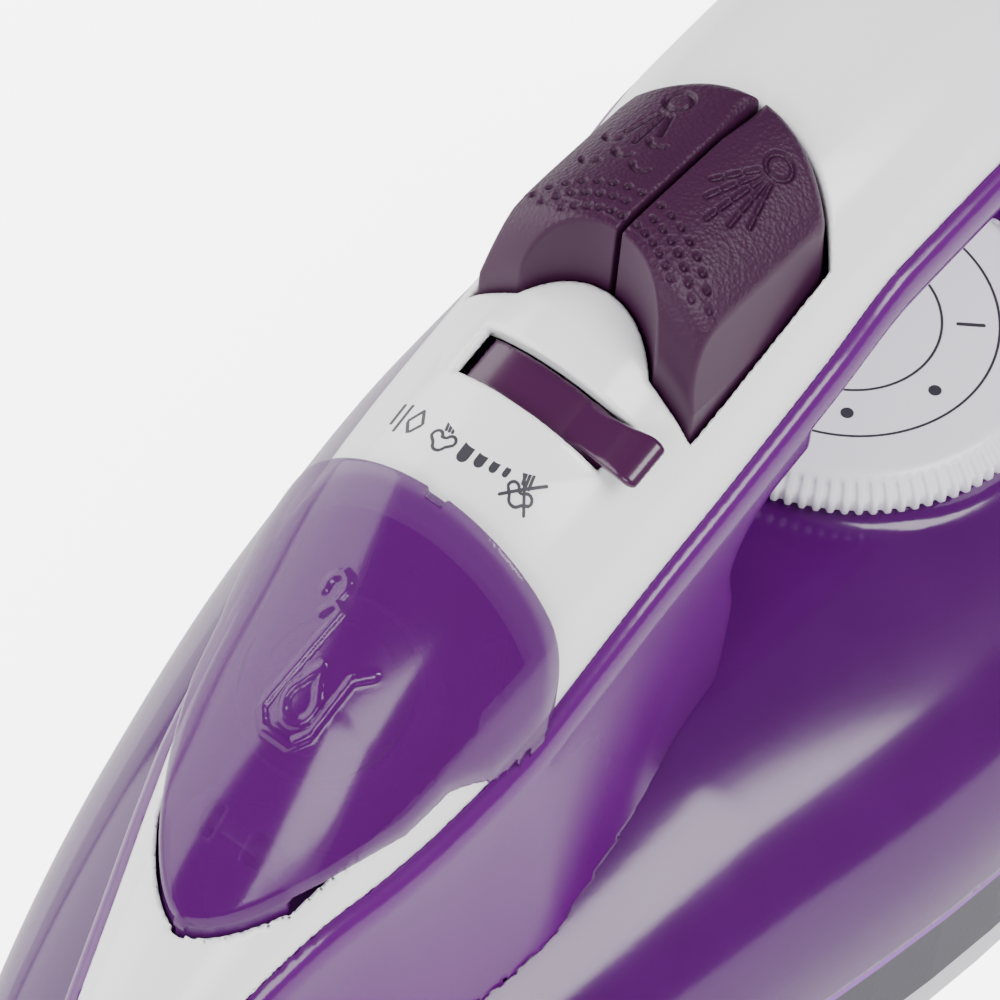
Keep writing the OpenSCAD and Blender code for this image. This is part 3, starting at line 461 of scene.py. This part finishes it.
def strokes_distance(x, y, strokes):
    """Distance in plan from the nearest stroke, worked out only near the strokes."""
    best = np.full(np.shape(x), 9.0)
    points = np.array([p for s in strokes for p in s])
    low, high = points.min(0) - 1.2, points.max(0) + 1.2
    near = (x > low[0]) & (x < high[0]) & (y > low[1]) & (y < high[1])
    if near.any():
        xs, ys = x[near], y[near]
        found = np.full(xs.shape, 9.0)
        for s in strokes:
            for a, b in zip(s[:-1], s[1:]):
                found = np.minimum(found, segment(xs, ys, a, b))
        best[near] = found
    return best


def jug_strokes():
    """A filling jug with a drop, its mouth towards the hinge."""
    jug = [(64.5, -4.2), (63.2, -3.2), (63.6, -1.8), (75.8, -4.6), (77.6, -2.6), (77.6, 1.6), (75.6, 3.4),
           (68.5, 4.4), (66.6, 6.6)]
    drop = [(69.2, 0), *arc(73.4, 0, 2.3, 140, -140, 14), (69.2, 0)]
    return [jug, drop, arc(61.6, -4.4, 1.5, 60, 300, 8)]


def lid_field(x, y, z):
    """A clear sheet that floats over the cover, with a skirt that drops into the opening."""
    t = np.clip((x - LID_BACK) / (LID_FRONT - LID_BACK), 0, 1)
    d = dome(x, y, z)
    mark = strokes_distance(x, y, jug_strokes())
    top = 2.5 - 0.8 * t
    raised = 0.35 * np.clip((0.7 - mark) / 0.35, 0, 1)
    rim = np.minimum(np.abs(y) / np.maximum(lid_half(x), 1), 1)
    under = top - LID_WALL + 0.6 * rim ** 4
    half = np.minimum(lid_half(x) + 0.3, cover_half(x) + 2 - 2.2 * np.clip((x - 56) / 10, 0, 1))
    side = (np.abs(y) - half) / np.sqrt(1 + np.minimum(slope(lid_half)(x) ** 2, 30))
    side = both(both(side, LID_BACK - x, 0.5), x - LID_FRONT - 0.3)
    sheet = both(both(d - top - raised, under - d), side, 0.55)
    skirt = both(both(side, -1.4 - side), both(d - top + 0.8, -2.4 - d))
    lid = either(sheet, both(skirt, 87 - x, 0.5), 0.3)
    latch = both(both(x - LID_BACK - 1.3, np.abs(y) - 1.5), top - 0.9 - d)
    lid = cut(lid, latch, 0.2)
    ears = np.minimum(np.abs(y - 4), np.abs(y + 4)) - 1.25
    pin = np.hypot(x - HINGE_X, z - HINGE_Z)
    arm = segment(x, z, (HINGE_X, HINGE_Z), HINGE_ARM) - 2.3
    reach = np.minimum(pin - 2.8, arm)
    lid = either(lid, both(both(reach, ears), d - under - 0.3), 0.4)
    return cut(lid, both(pin - PIN_R, np.abs(y) - 6))


ICON_X, ICON_Y, ICON_R = -11.4, 8.3, 1.8


def ray(side, angle, start, end):
    """A stroke that points away from the ring of an icon."""
    c, s = math.cos(math.radians(angle)), math.sin(math.radians(angle))
    return [(ICON_X + r * c, side * ICON_Y + r * s) for r in (start, end)]


def spray_icon():
    """A nozzle with a fan of dashes, on the +Y button."""
    fan = [(-28, 3.0, 4.8), (-28, 5.8, 7.4), (-28, 8.4, 9.8),
           (-17, 3.2, 6.2), (-17, 7.2, 9.0), (-17, 9.9, 11.8),
           (-6, 3.2, 5.0), (-6, 6.0, 8.6), (-6, 9.6, 11.2), (-6, 12.2, 13.8),
           (5, 3.2, 6.0), (5, 7.0, 8.8), (5, 9.8, 12.0),
           (16, 3.0, 5.0), (16, 6.0, 7.8), (16, 8.7, 10.2)]
    return [arc(ICON_X, ICON_Y, ICON_R, 0, 360, 24), *[ray(1, *dash) for dash in fan]]


def steam_icon():
    """A nozzle with three jets and puffs of steam, on the -Y button."""
    marks = [arc(ICON_X, -ICON_Y, ICON_R, 0, 360, 24)]
    marks += [ray(-1, angle, 3.2, end) for angle, end in ((-17, 8.2), (0, 9.4), (17, 7.2))]
    for px, py in ((2.3, -4.7), (3.6, -11.7), (1.0, -8.5), (-1.5, -11.8), (-2.5, -5.6)):
        marks.append(arc(px - 1.2, py, 1.4, -66, 66, 10))
    return marks


def dimples(side):
    """Three rows of dimples that follow the crescent."""
    places = []
    for row, r in enumerate((17.1, 19.4, 21.7)):
        for i in range(14):
            angle = math.radians(4.2 + 5.4 * i + 2.7 * (row % 2))
            x, y = CRESCENT_X - r * math.cos(angle), side * r * math.sin(angle)
            if abs(y) < 15.2 and x < 12.5:
                places.append((x, y))
    return places


def button_crown(x, y):
    """Height of the buttons' crowned top."""
    across = BUTTON_TOP - CROWN_R + np.sqrt(np.maximum(CROWN_R ** 2 - y * y, 1))
    fore = 70 - np.sqrt(np.maximum(70 ** 2 - np.maximum(x - 5, 0) ** 2, 1))
    return across - fore


def button_field(side):
    icon = spray_icon() if side > 0 else steam_icon()
    spots = dimples(side)

    def field(x, y, z):
        out = side * y
        top = button_crown(x, y)
        mark = strokes_distance(x, y, icon)
        groove = 0.6 * np.clip((0.55 - mark) / 0.4, 0, 1)
        dot = np.full(np.shape(x), 9.0)
        near = (x > -1) & (x < 14)
        for px, py in spots:
            dot[near] = np.minimum(dot[near], np.hypot(x[near] - px, y[near] - py))
        groove = np.maximum(groove, 0.7 * np.clip((0.72 - dot) / 0.5, 0, 1))
        lean = np.sqrt(1 + (y / np.sqrt(np.maximum(CROWN_R ** 2 - y * y, 25))) ** 2)
        above = (z - top + groove) / lean
        flare = 1.7 * (1 - np.clip((142 - z) / 13, 0, 1) ** 1.6)
        ends = both(BUTTON_BACK - x, np.hypot(x - BUTTON_BACK - 24, y) - 24 + 0.25 * flare)
        ends = np.where(x < -6, np.maximum(ends, BUTTON_BACK - x), -3)
        walls = both(out - BUTTON_HALF + flare, ends, 0.8)
        walls = both(walls, BUTTON_GAP / 2 - out, 0.35)
        front = x - 17.0
        nose = np.hypot(np.maximum(front + 6, 0) / 6, np.maximum(z - top + 10, 0) / 10)
        front = np.maximum(front, np.where((front > -6) & (z > top - 10), (nose - 1) * 6, -6))
        walls = both(walls, front, 0.5)
        scoop = np.hypot(x - CRESCENT_X, y) - CRESCENT_R
        walls = cut(walls, scoop, 0.3)
        edge = 0.7 + 1.6 * np.clip((-9 - x) / 6, 0, 1)
        body = np.minimum(np.maximum(walls, above), -edge)
        body = body + np.hypot(np.maximum(walls + edge, 0), np.maximum(above + edge, 0))
        body = both(body, BUTTON_SKIRT - z, 0.3)
        inner = both(walls + 2, z - 134)
        return cut(body, inner)
    return field


def slider_field(x, y, z):
    u, v, w = slider_axes(x, y, z)
    drum = drum_sector(u, v, w, DRUM_R, 4, DRUM_W, -27, 86)
    hub = both(np.hypot(v, w) - 5, both(-DRUM_W / 2 - u, u - DRUM_W / 2 - 4))
    r = np.hypot(v, w)
    angle = np.degrees(np.arctan2(v, w))
    blade_angle = TAB_ANGLE - 1 + 2.1 * np.clip(r - DRUM_R, 0, 7)
    off = (angle - blade_angle) * math.pi / 180 * r
    spread = 1.45 + 2.2 * np.clip(1 - (r - DRUM_R) / 3.2, 0, 1) ** 2
    width = DRUM_W / 2 - 0.4
    blade = both(np.abs(off) - spread, both(r - DRUM_R - 6.2, DRUM_R - 2 - r), 1.2)
    blade = both(blade, np.abs(u) - width - 0.9 * np.clip((r - DRUM_R) / 6, 0, 1), 1.0)
    body = either(drum, blade, 0.8)
    body = either(body, hub, 0.3)
    return cut(both(body, -u - DRUM_W / 2 - 4), np.hypot(v, w) - 2.05)


# --- materials ---

def links(tree, *pairs):
    for a, b in pairs:
        tree.links.new(a, b)


def spread(tree, value, low, high):
    """A node that turns 0 to 1 of value into low to high."""
    node = tree.nodes.new("ShaderNodeMapRange")
    node.inputs["To Min"].default_value = low
    node.inputs["To Max"].default_value = high
    tree.links.new(value, node.inputs["Value"])
    return node


def texture(tree, kind):
    """A pattern of cells or noise, with its output."""
    if kind == "cells":
        node = tree.nodes.new("ShaderNodeTexVoronoi")
        node.feature = "SMOOTH_F1"
        node.inputs["Smoothness"].default_value = 0.4
        return node, node.outputs["Distance"]
    node = tree.nodes.new("ShaderNodeTexNoise")
    node.inputs["Detail"].default_value = 4
    return node, node.outputs["Fac"]


def mask_tops(tree, bump):
    """Keep the bump off walls: full on faces that look up, none on upright ones."""
    normal = tree.nodes.new("ShaderNodeNewGeometry")
    axes = tree.nodes.new("ShaderNodeSeparateXYZ")
    mask = tree.nodes.new("ShaderNodeMapRange")
    mask.inputs["From Min"].default_value = 0.35
    mask.inputs["From Max"].default_value = 0.55
    links(tree, (normal.outputs["True Normal"], axes.inputs["Vector"]),
          (axes.outputs["Z"], mask.inputs["Value"]),
          (mask.outputs["Result"], bump.inputs["Strength"]))


def add_grain(tree, place, shader, grain):
    """Bumps laid over each other, each (kind, size in mm, depth in mm, only on tops)."""
    before = None
    for kind, size, depth, tops in grain:
        pattern, height = texture(tree, kind)
        pattern.inputs["Scale"].default_value = 1 / (size * MM)
        tree.links.new(place, pattern.inputs["Vector"])
        bump = tree.nodes.new("ShaderNodeBump")
        bump.inputs["Distance"].default_value = depth * MM
        bump.inputs["Strength"].default_value = 1.0
        if tops:
            mask_tops(tree, bump)
        tree.links.new(height, bump.inputs["Height"])
        if before:
            tree.links.new(before.outputs["Normal"], bump.inputs["Normal"])
        before = bump
    if before:
        tree.links.new(before.outputs["Normal"], shader.inputs["Normal"])


def material(name, colour, rough, coat=0.0, clear=0.0, metal=0.0, grain=(), vary=0.06, alpha=1.0,
             shine=0.5):
    """A moulded or metal finish whose colour and gloss drift a little over the surface."""
    made = bpy.data.materials.new(name)
    made.use_nodes = True
    tree = made.node_tree
    shader = tree.nodes["Principled BSDF"]
    settings = {"Roughness": rough, "Metallic": metal, "Coat Weight": coat, "Coat Roughness": 0.1,
                "Transmission Weight": clear, "IOR": 1.49, "Alpha": alpha, "Specular IOR Level": shine}
    for socket, value in settings.items():
        shader.inputs[socket].default_value = value
    place = tree.nodes.new("ShaderNodeTexCoord").outputs["Object"]
    cloud = tree.nodes.new("ShaderNodeTexNoise")
    cloud.inputs["Scale"].default_value = 1 / (14 * MM)
    cloud.inputs["Detail"].default_value = 3
    shade = tree.nodes.new("ShaderNodeMix")
    shade.data_type = "RGBA"
    shade.inputs["A"].default_value = (*[c * (1 - vary) for c in colour], 1)
    shade.inputs["B"].default_value = (*[min(1, c * (1 + vary)) for c in colour], 1)
    links(tree, (place, cloud.inputs["Vector"]),
          (cloud.outputs["Fac"], shade.inputs["Factor"]),
          (shade.outputs["Result"], shader.inputs["Base Color"]))
    if clear < 0.5:  # a clear part keeps an even gloss
        wear = spread(tree, cloud.outputs["Fac"], max(0.0, rough - 0.03), rough + 0.05)
        links(tree, (wear.outputs["Result"], shader.inputs["Roughness"]))
    add_grain(tree, place, shader, grain)
    return made


def fine(size, depth):
    """A faint unevenness all over."""
    return [("noise", size, depth, False)]


def pebbled(size, depth):
    return [("cells", size, depth, False)]


LEATHER = [("cells", 0.62, 0.1, True), ("noise", 0.3, 0.05, True), ("noise", 2.5, 0.06, True)]

WHITE = material("white_gloss", (0.86, 0.86, 0.885), 0.22, coat=0.4, vary=0.01, grain=fine(3, 0.01))
EGGPLANT = material("eggplant", (0.036, 0.006, 0.031), 0.42, vary=0.1, shine=0.28, grain=LEATHER)
EGGPLANT_GLOSS = material("eggplant_gloss", (0.045, 0.005, 0.04), 0.22, coat=0.2, vary=0.08,
                          grain=fine(2.0, 0.01))
PURPLE = material("purple_gloss", (0.085, 0.0, 0.125), 0.22, coat=0.25, vary=0.15, grain=fine(6, 0.01))
LID_GLASS = material("lid_glass", (0.085, 0.0, 0.125), 0.12, coat=0.2, alpha=0.66, vary=0.1)
TANK_GLASS = material("tank_glass", (0.068, 0.0, 0.105), 0.16, coat=0.3, alpha=0.86, vary=0.15)
DARK_PURPLE = material("dark_purple", (0.3, 0.06, 0.42), 0.3, vary=0.15, grain=fine(1.2, 0.02))
TANK_FLOOR = material("tank_floor", (0.22, 0.03, 0.38), 0.35, vary=0.2, grain=fine(2, 0.02))
DIAL_WHITE = material("dial_white", (0.80, 0.78, 0.85), 0.3, coat=0.3, vary=0.01, grain=fine(1, 0.01))
INK = material("ink", (0.035, 0.033, 0.042), 0.4, vary=0.1)
ALUMINIUM = material("sole_metal", (0.62, 0.62, 0.65), 0.28, metal=1.0, vary=0.05,
                     grain=fine(0.4, 0.01))
STEEL = material("steel", (0.6, 0.6, 0.62), 0.25, metal=1.0, vary=0.06, grain=fine(0.3, 0.006))
OXIDISED = material("heater_steel", (0.25, 0.22, 0.2), 0.5, metal=1.0, vary=0.25,
                    grain=fine(0.5, 0.02))
CERAMIC = material("ceramic_white", (0.74, 0.7, 0.6), 0.6, vary=0.08, grain=fine(0.6, 0.03))
RUBBER = material("rubber", (0.018, 0.017, 0.02), 0.65, vary=0.2, grain=fine(0.5, 0.03))
SILICONE = material("tube_silicone", (0.7, 0.7, 0.7), 0.35, clear=0.35, vary=0.04,
                    grain=fine(1.5, 0.01))
PUMP = material("pump_plastic", (0.72, 0.72, 0.66), 0.3, vary=0.05, grain=fine(1, 0.01))
SHIELD = material("heat_shield_plastic", (0.03, 0.025, 0.04), 0.45, vary=0.15,
                  grain=pebbled(0.5, 0.03))
DARK = material("dark_plastic", (0.012, 0.01, 0.014), 0.4, vary=0.2, grain=pebbled(0.5, 0.03))
AMBER = material("lamp_amber", (0.95, 0.35, 0.04), 0.1, clear=0.8, vary=0.05)
LAMP = material("lamp", (0.8, 0.45, 0.2), 0.3, vary=0.1)

FINISH = {"sole_metal": ALUMINIUM, "steel": STEEL, "heater_steel": OXIDISED, "ceramic_white": CERAMIC,
          "fuse_body": CERAMIC, "heat_shield_plastic": SHIELD, "tank_base_plastic": TANK_FLOOR,
          "gasket_silicone": RUBBER, "clear_purple": TANK_GLASS, "dark_purple": DARK_PURPLE,
          "purple_gloss": PURPLE, "white_gloss": WHITE, "dial_white": DIAL_WHITE, "pad_rubber": RUBBER,
          "tube_silicone": SILICONE, "pump_plastic": PUMP, "eggplant": EGGPLANT,
          "eggplant_gloss": EGGPLANT_GLOSS, "dark_plastic": DARK, "lamp": LAMP, "lamp_amber": AMBER}
for part in frame["record"]["subparts"]:
    node = NODES[part["node"]]
    node.data.materials.clear()
    node.data.materials.append(FINISH[part["material_slot"]])


# --- pieces ---

def finish_piece(piece, body, look, slot, *nodes):
    piece.data.materials.append(look)
    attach(piece, body)
    if nodes:
        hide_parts(*nodes)
    return piece


def ribbon(path, width, surface, lift=0.05, sink=0.25, step=0.35):
    """Points and faces of a closed strip with round ends that lies on a surface."""
    path = [np.array(p, float) for p in path]
    runs = [np.linalg.norm(b - a) for a, b in zip(path[:-1], path[1:])]
    length, r = sum(runs), width / 2
    at = np.concatenate([-r * np.cos(np.linspace(0, math.pi / 2, 5)), np.arange(step, length, step)
                         if length > step else [], length + r * np.sin(np.linspace(0, math.pi / 2, 5))])
    reach = np.cumsum([0, *runs])
    left, right = [], []
    for s in at:
        i = min(max(np.searchsorted(reach, s) - 1, 0), len(runs) - 1)
        d = (path[i + 1] - path[i]) / max(runs[i], 1e-9)
        p = path[i] + d * (s - reach[i])
        over = max(-s, s - length, 0)
        half = math.sqrt(max(r * r - over * over, 0.0004))
        n = np.array([-d[1], d[0]])
        left.append(p + n * half)
        right.append(p - n * half)
    rows = len(at)
    flat = np.array(left + right)
    top = np.column_stack(surface(flat[:, 0], flat[:, 1], lift))
    low = np.column_stack(surface(flat[:, 0], flat[:, 1], -sink))
    faces = []
    a, b, n = 0, rows, 2 * rows
    for i in range(rows - 1):
        faces += [(a + i, b + i, b + i + 1, a + i + 1),
                  (n + a + i, n + a + i + 1, n + b + i + 1, n + b + i),
                  (a + i, a + i + 1, n + a + i + 1, n + a + i),
                  (b + i, n + b + i, n + b + i + 1, b + i + 1)]
    faces += [(a, n + a, n + b, b), (rows - 1, b + rows - 1, n + b + rows - 1, n + rows - 1)]
    return np.concatenate([top, low]), faces


def print_marks(name, strokes, width, surface):
    """One object of closed strips along the strokes."""
    points, faces = [], []
    for stroke in strokes:
        w = width
        if isinstance(stroke, tuple):
            stroke, w = stroke
        p, f = ribbon(stroke, w, surface)
        faces += [tuple(i + sum(map(len, points)) for i in face) for face in f]
        points.append(p)
    return add_mesh(name, np.concatenate(points), faces, smooth=False)


def on_cover(x, y, lift):
    """A place on the cover above (x, y), lifted along its normal."""
    def height(px, py):
        s = split(px)
        return s + (crown(px) - s) * np.sqrt(np.maximum(1 - (py / cover_half(px)) ** 2, 0.01))
    gx = (height(x + 0.3, y) - height(x - 0.3, y)) / 0.6
    gy = (height(x, y + 0.3) - height(x, y - 0.3)) / 0.6
    n = np.stack([-gx, -gy, np.ones_like(gx)]) / np.sqrt(1 + gx ** 2 + gy ** 2)
    return x + lift * n[0], y + lift * n[1], height(x, y) + lift * n[2]


def cloud_strokes(x, y, size=1.0):
    """A puff of steam with three rising jets, its top towards the nose."""
    def place(points):
        return [(x + size * px, y + size * py) for px, py in points]
    puff = (arc(0.9, -1.15, 0.8, 100, 290, 9) + arc(1.8, 0, 0.95, -80, 80, 9)
            + arc(0.9, 1.15, 0.8, 70, 260, 9))
    jets = [[(-0.3, -0.55 + 0.55 * i), (-2.3, -1.15 + 0.55 * i)] for i in range(3)]
    return [place(puff + puff[:1]), *[place(j) for j in jets]]


def steam_marks():
    """The steam scale on the cover: none, four growing bars, full steam and self-clean."""
    row = SCALE_X
    marks = cloud_strokes(row, 7.6, 0.95)
    marks += [[(row + 2.6, 5.6), (row - 2.2, 9.6)], [(row + 2.4, 9.6), (row - 2.4, 5.6)]]
    for i, y in enumerate((4.6, 2.9, 0.9, -1.4)):
        tall = 0.35 + 0.42 * i
        wide = 0.8 + 0.3 * i
        marks.append(([(row - tall, y), (row + tall, y)], wide))
    marks += cloud_strokes(row, -5.2, 0.95)
    marks += [[(row - 1.6, -10.4), (row + 0.2, -9.2), (row + 1.8, -10.4), (row + 0.2, -11.6),
               (row - 1.6, -10.4)],
              [(row - 2.0, -12.6), (row + 1.8, -12.6)], [(row - 2.0, -13.8), (row + 0.8, -13.8)]]
    return marks


def dial_piece():
    """The dial: a flat face, a sloped rim and fine ribs round its edge."""
    z0 = DECK_Z + 0.8
    face = [(0, DIAL_TOP), (13.0, DIAL_TOP)]
    face += [(r, DIAL_TOP) for r in np.arange(14.0, 27.1, 1.0)]
    rim = [(27.6, DIAL_TOP - 0.05), (28.2, DIAL_TOP - 0.35), (28.8, DIAL_TOP - 0.85), (29.6, DIAL_TOP - 1.6),
           (30.4, DIAL_TOP - 2.3), (30.9, DIAL_TOP - 2.8), (31.2, DIAL_TOP - 3.2), (31.25, DIAL_TOP - 4.0),
           (31.25, z0 + 0.6), (30.9, z0 + 0.1), (30.2, z0), (3.1, z0), (0, z0)]
    profile = face + rim
    count = 12 * DIAL_RIBS
    points, faces = [], []
    for r, z in profile:
        for i in range(count):
            a = 2 * math.pi * i / count
            wave = math.tanh(2.5 * math.cos(DIAL_RIBS * a)) * 0.5 + 0.5
            deep = 0.75 * (1 - wave) if r > 29 and z > z0 - 0.01 else 0
            points.append((DIAL_X + (r - deep) * math.cos(a), (r - deep) * math.sin(a), z))
    for j in range(len(profile) - 1):
        for i in range(count):
            k = (i + 1) % count
            faces.append((j * count + i, (j + 1) * count + i, (j + 1) * count + k, j * count + k))
    return add_mesh("dial_knob_mesh", points, faces)


def on_dial(x, y, lift):
    return x, y, np.full(np.shape(x), DIAL_TOP + lift)


def polar(cx, r, angle):
    return (cx + r * math.cos(math.radians(angle)), r * math.sin(math.radians(angle)))


def dial_marks():
    """Two rings and the heat settings as dots, as on most irons."""
    marks = [(arc(DIAL_X, 0, 21.5, 0, 360, 120), 0.38), (arc(DIAL_X, 0, 13.3, 0, 360, 90), 0.38)]
    for angle, dots in HEAT_MARKS:
        for i in range(dots):
            x, y = polar(DIAL_X, 17.4, angle + 7.5 * (i - (dots - 1) / 2))
            marks.append(([(x, y), (x + 0.02, y)], 1.9))
        if dots == 0:
            marks.append(([polar(DIAL_X, 15.6, angle), polar(DIAL_X, 19.2, angle)], 0.6))
    return marks


finish_piece(solid("cover", cover_field, (JOINT_X, -24, 45), (128, 24, 150), 0.55),
             "housing", WHITE, "white_gloss", "top_cover")
finish_piece(solid("handle", handle_field, (JOINT_X, -44, 24), (128, 44, 140), 0.8),
             "housing", PURPLE, "purple_gloss", "handle_body")
finish_piece(solid("tank", tank_field, (-133, -61, 28), (145, 61, 70), 0.9),
             "housing", TANK_GLASS, "clear_purple", "tank_shell")
finish_piece(solid("lid_glass", lid_field, (LID_BACK, -25, 76), (LID_FRONT, 25, 128), 0.36),
             "lid_assembly", LID_GLASS, "clear_purple", "lid")
for side, name in ((1, "spray"), (-1, "steam")):
    low, high = sorted((0, side * BUTTON_HALF))
    button = solid(name + "_thumb", button_field(side), (BUTTON_BACK, low, BUTTON_SKIRT),
                   (18, high, BUTTON_TOP), 0.19)
    finish_piece(button, name + "_push", EGGPLANT, "eggplant", name + "_button")
finish_piece(solid("slider_knob", slider_field, (-2, -26, 80), (36, 26, 142), 0.3),
             "slider", EGGPLANT_GLOSS, "eggplant_gloss", "steam_slider")
finish_piece(print_marks("steam_scale", steam_marks(), 0.42, on_cover), "housing", INK, "white_gloss")
finish_piece(dial_piece(), "dial_knob", DIAL_WHITE, "dial_white", "dial")
finish_piece(print_marks("dial_print", dial_marks(), 0.4, on_dial), "dial_knob", INK, "dial_white")


# --- camera, lights and floor ---

def set_camera():
    azimuth, elevation, roll = math.radians(34.3), math.radians(52.0), math.radians(6.0)
    right = np.array([-math.sin(azimuth), math.cos(azimuth), 0.0])
    up = np.array([-math.sin(elevation) * math.cos(azimuth),
                   -math.sin(elevation) * math.sin(azimuth), math.cos(elevation)])
    back = np.cross(right, up)
    turned_right = right * math.cos(roll) + up * math.sin(roll)
    turned_up = -right * math.sin(roll) + up * math.cos(roll)
    target = np.array([32.7, 0.0, 110.9])
    distance = 1000.0
    seen_mm = 131.6
    data = bpy.data.cameras.new("camera")
    data.sensor_width = 36.0
    data.lens = 36.0 * distance / seen_mm
    data.clip_start, data.clip_end = 0.05, 20.0
    camera = bpy.data.objects.new("camera", data)
    place = target + back * distance
    basis = np.column_stack([turned_right, turned_up, back])
    matrix = Matrix([[*basis[i], place[i] * MM] for i in range(3)] + [[0, 0, 0, 1]])
    camera.matrix_world = matrix
    bpy.context.scene.collection.objects.link(camera)
    bpy.context.scene.camera = camera


def area_light(name, place, target, size, power, colour=(1, 1, 1)):
    data = bpy.data.lights.new(name, "AREA")
    data.shape = "RECTANGLE"
    data.size, data.size_y = size
    data.energy = power
    data.color = colour
    lamp = bpy.data.objects.new(name, data)
    lamp.location = place
    lamp.rotation_euler = (Vector(place) - Vector(target)).to_track_quat("Z", "Y").to_euler()
    bpy.context.scene.collection.objects.link(lamp)


def set_world():
    """An even pale surround that is dimmer in reflections than in what it lights."""
    world = bpy.data.worlds.new("studio")
    world.use_nodes = True
    tree = world.node_tree
    surround = tree.nodes["Background"]
    surround.inputs["Color"].default_value = (1, 1, 1, 1)
    rays = tree.nodes.new("ShaderNodeLightPath")
    level = tree.nodes.new("ShaderNodeMapRange")
    level.inputs["To Min"].default_value = 0.9
    level.inputs["To Max"].default_value = 0.2
    tree.links.new(rays.outputs["Is Glossy Ray"], level.inputs["Value"])
    tree.links.new(level.outputs["Result"], surround.inputs["Strength"])
    bpy.context.scene.world = world


def set_floor():
    mesh = bpy.data.meshes.new("floor")
    half = 2.5
    mesh.from_pydata([(-half, -half, 0), (half, -half, 0), (half, half, 0), (-half, half, 0)], [],
                     [(0, 1, 2, 3)])
    floor = bpy.data.objects.new("floor", mesh)
    bpy.context.scene.collection.objects.link(floor)
    finish = bpy.data.materials.new("floor")
    finish.use_nodes = True
    shader = finish.node_tree.nodes["Principled BSDF"]
    shader.inputs["Base Color"].default_value = (0.95, 0.95, 0.95, 1)
    shader.inputs["Roughness"].default_value = 0.6
    shader.inputs["Emission Color"].default_value = (1, 1, 1, 1)
    tree = finish.node_tree
    rays = tree.nodes.new("ShaderNodeLightPath")
    glow = tree.nodes.new("ShaderNodeMapRange")
    glow.inputs["To Min"].default_value = 0.2
    glow.inputs["To Max"].default_value = 5.0
    tree.links.new(rays.outputs["Is Camera Ray"], glow.inputs["Value"])
    tree.links.new(glow.outputs["Result"], shader.inputs["Emission Strength"])
    mesh.materials.append(finish)


set_camera()
set_world()
set_floor()
area_light("left_panel", (0.45, -1.0, 0.5), (0.05, 0, 0.1), (1.5, 0.9), 17)
area_light("top_panel", (-0.2, 0.9, 1.3), (0, 0, 0.08), (0.9, 0.7), 22)
area_light("front_panel", (1.3, 0.4, 0.9), (0, 0, 0.1), (0.7, 0.5), 9)
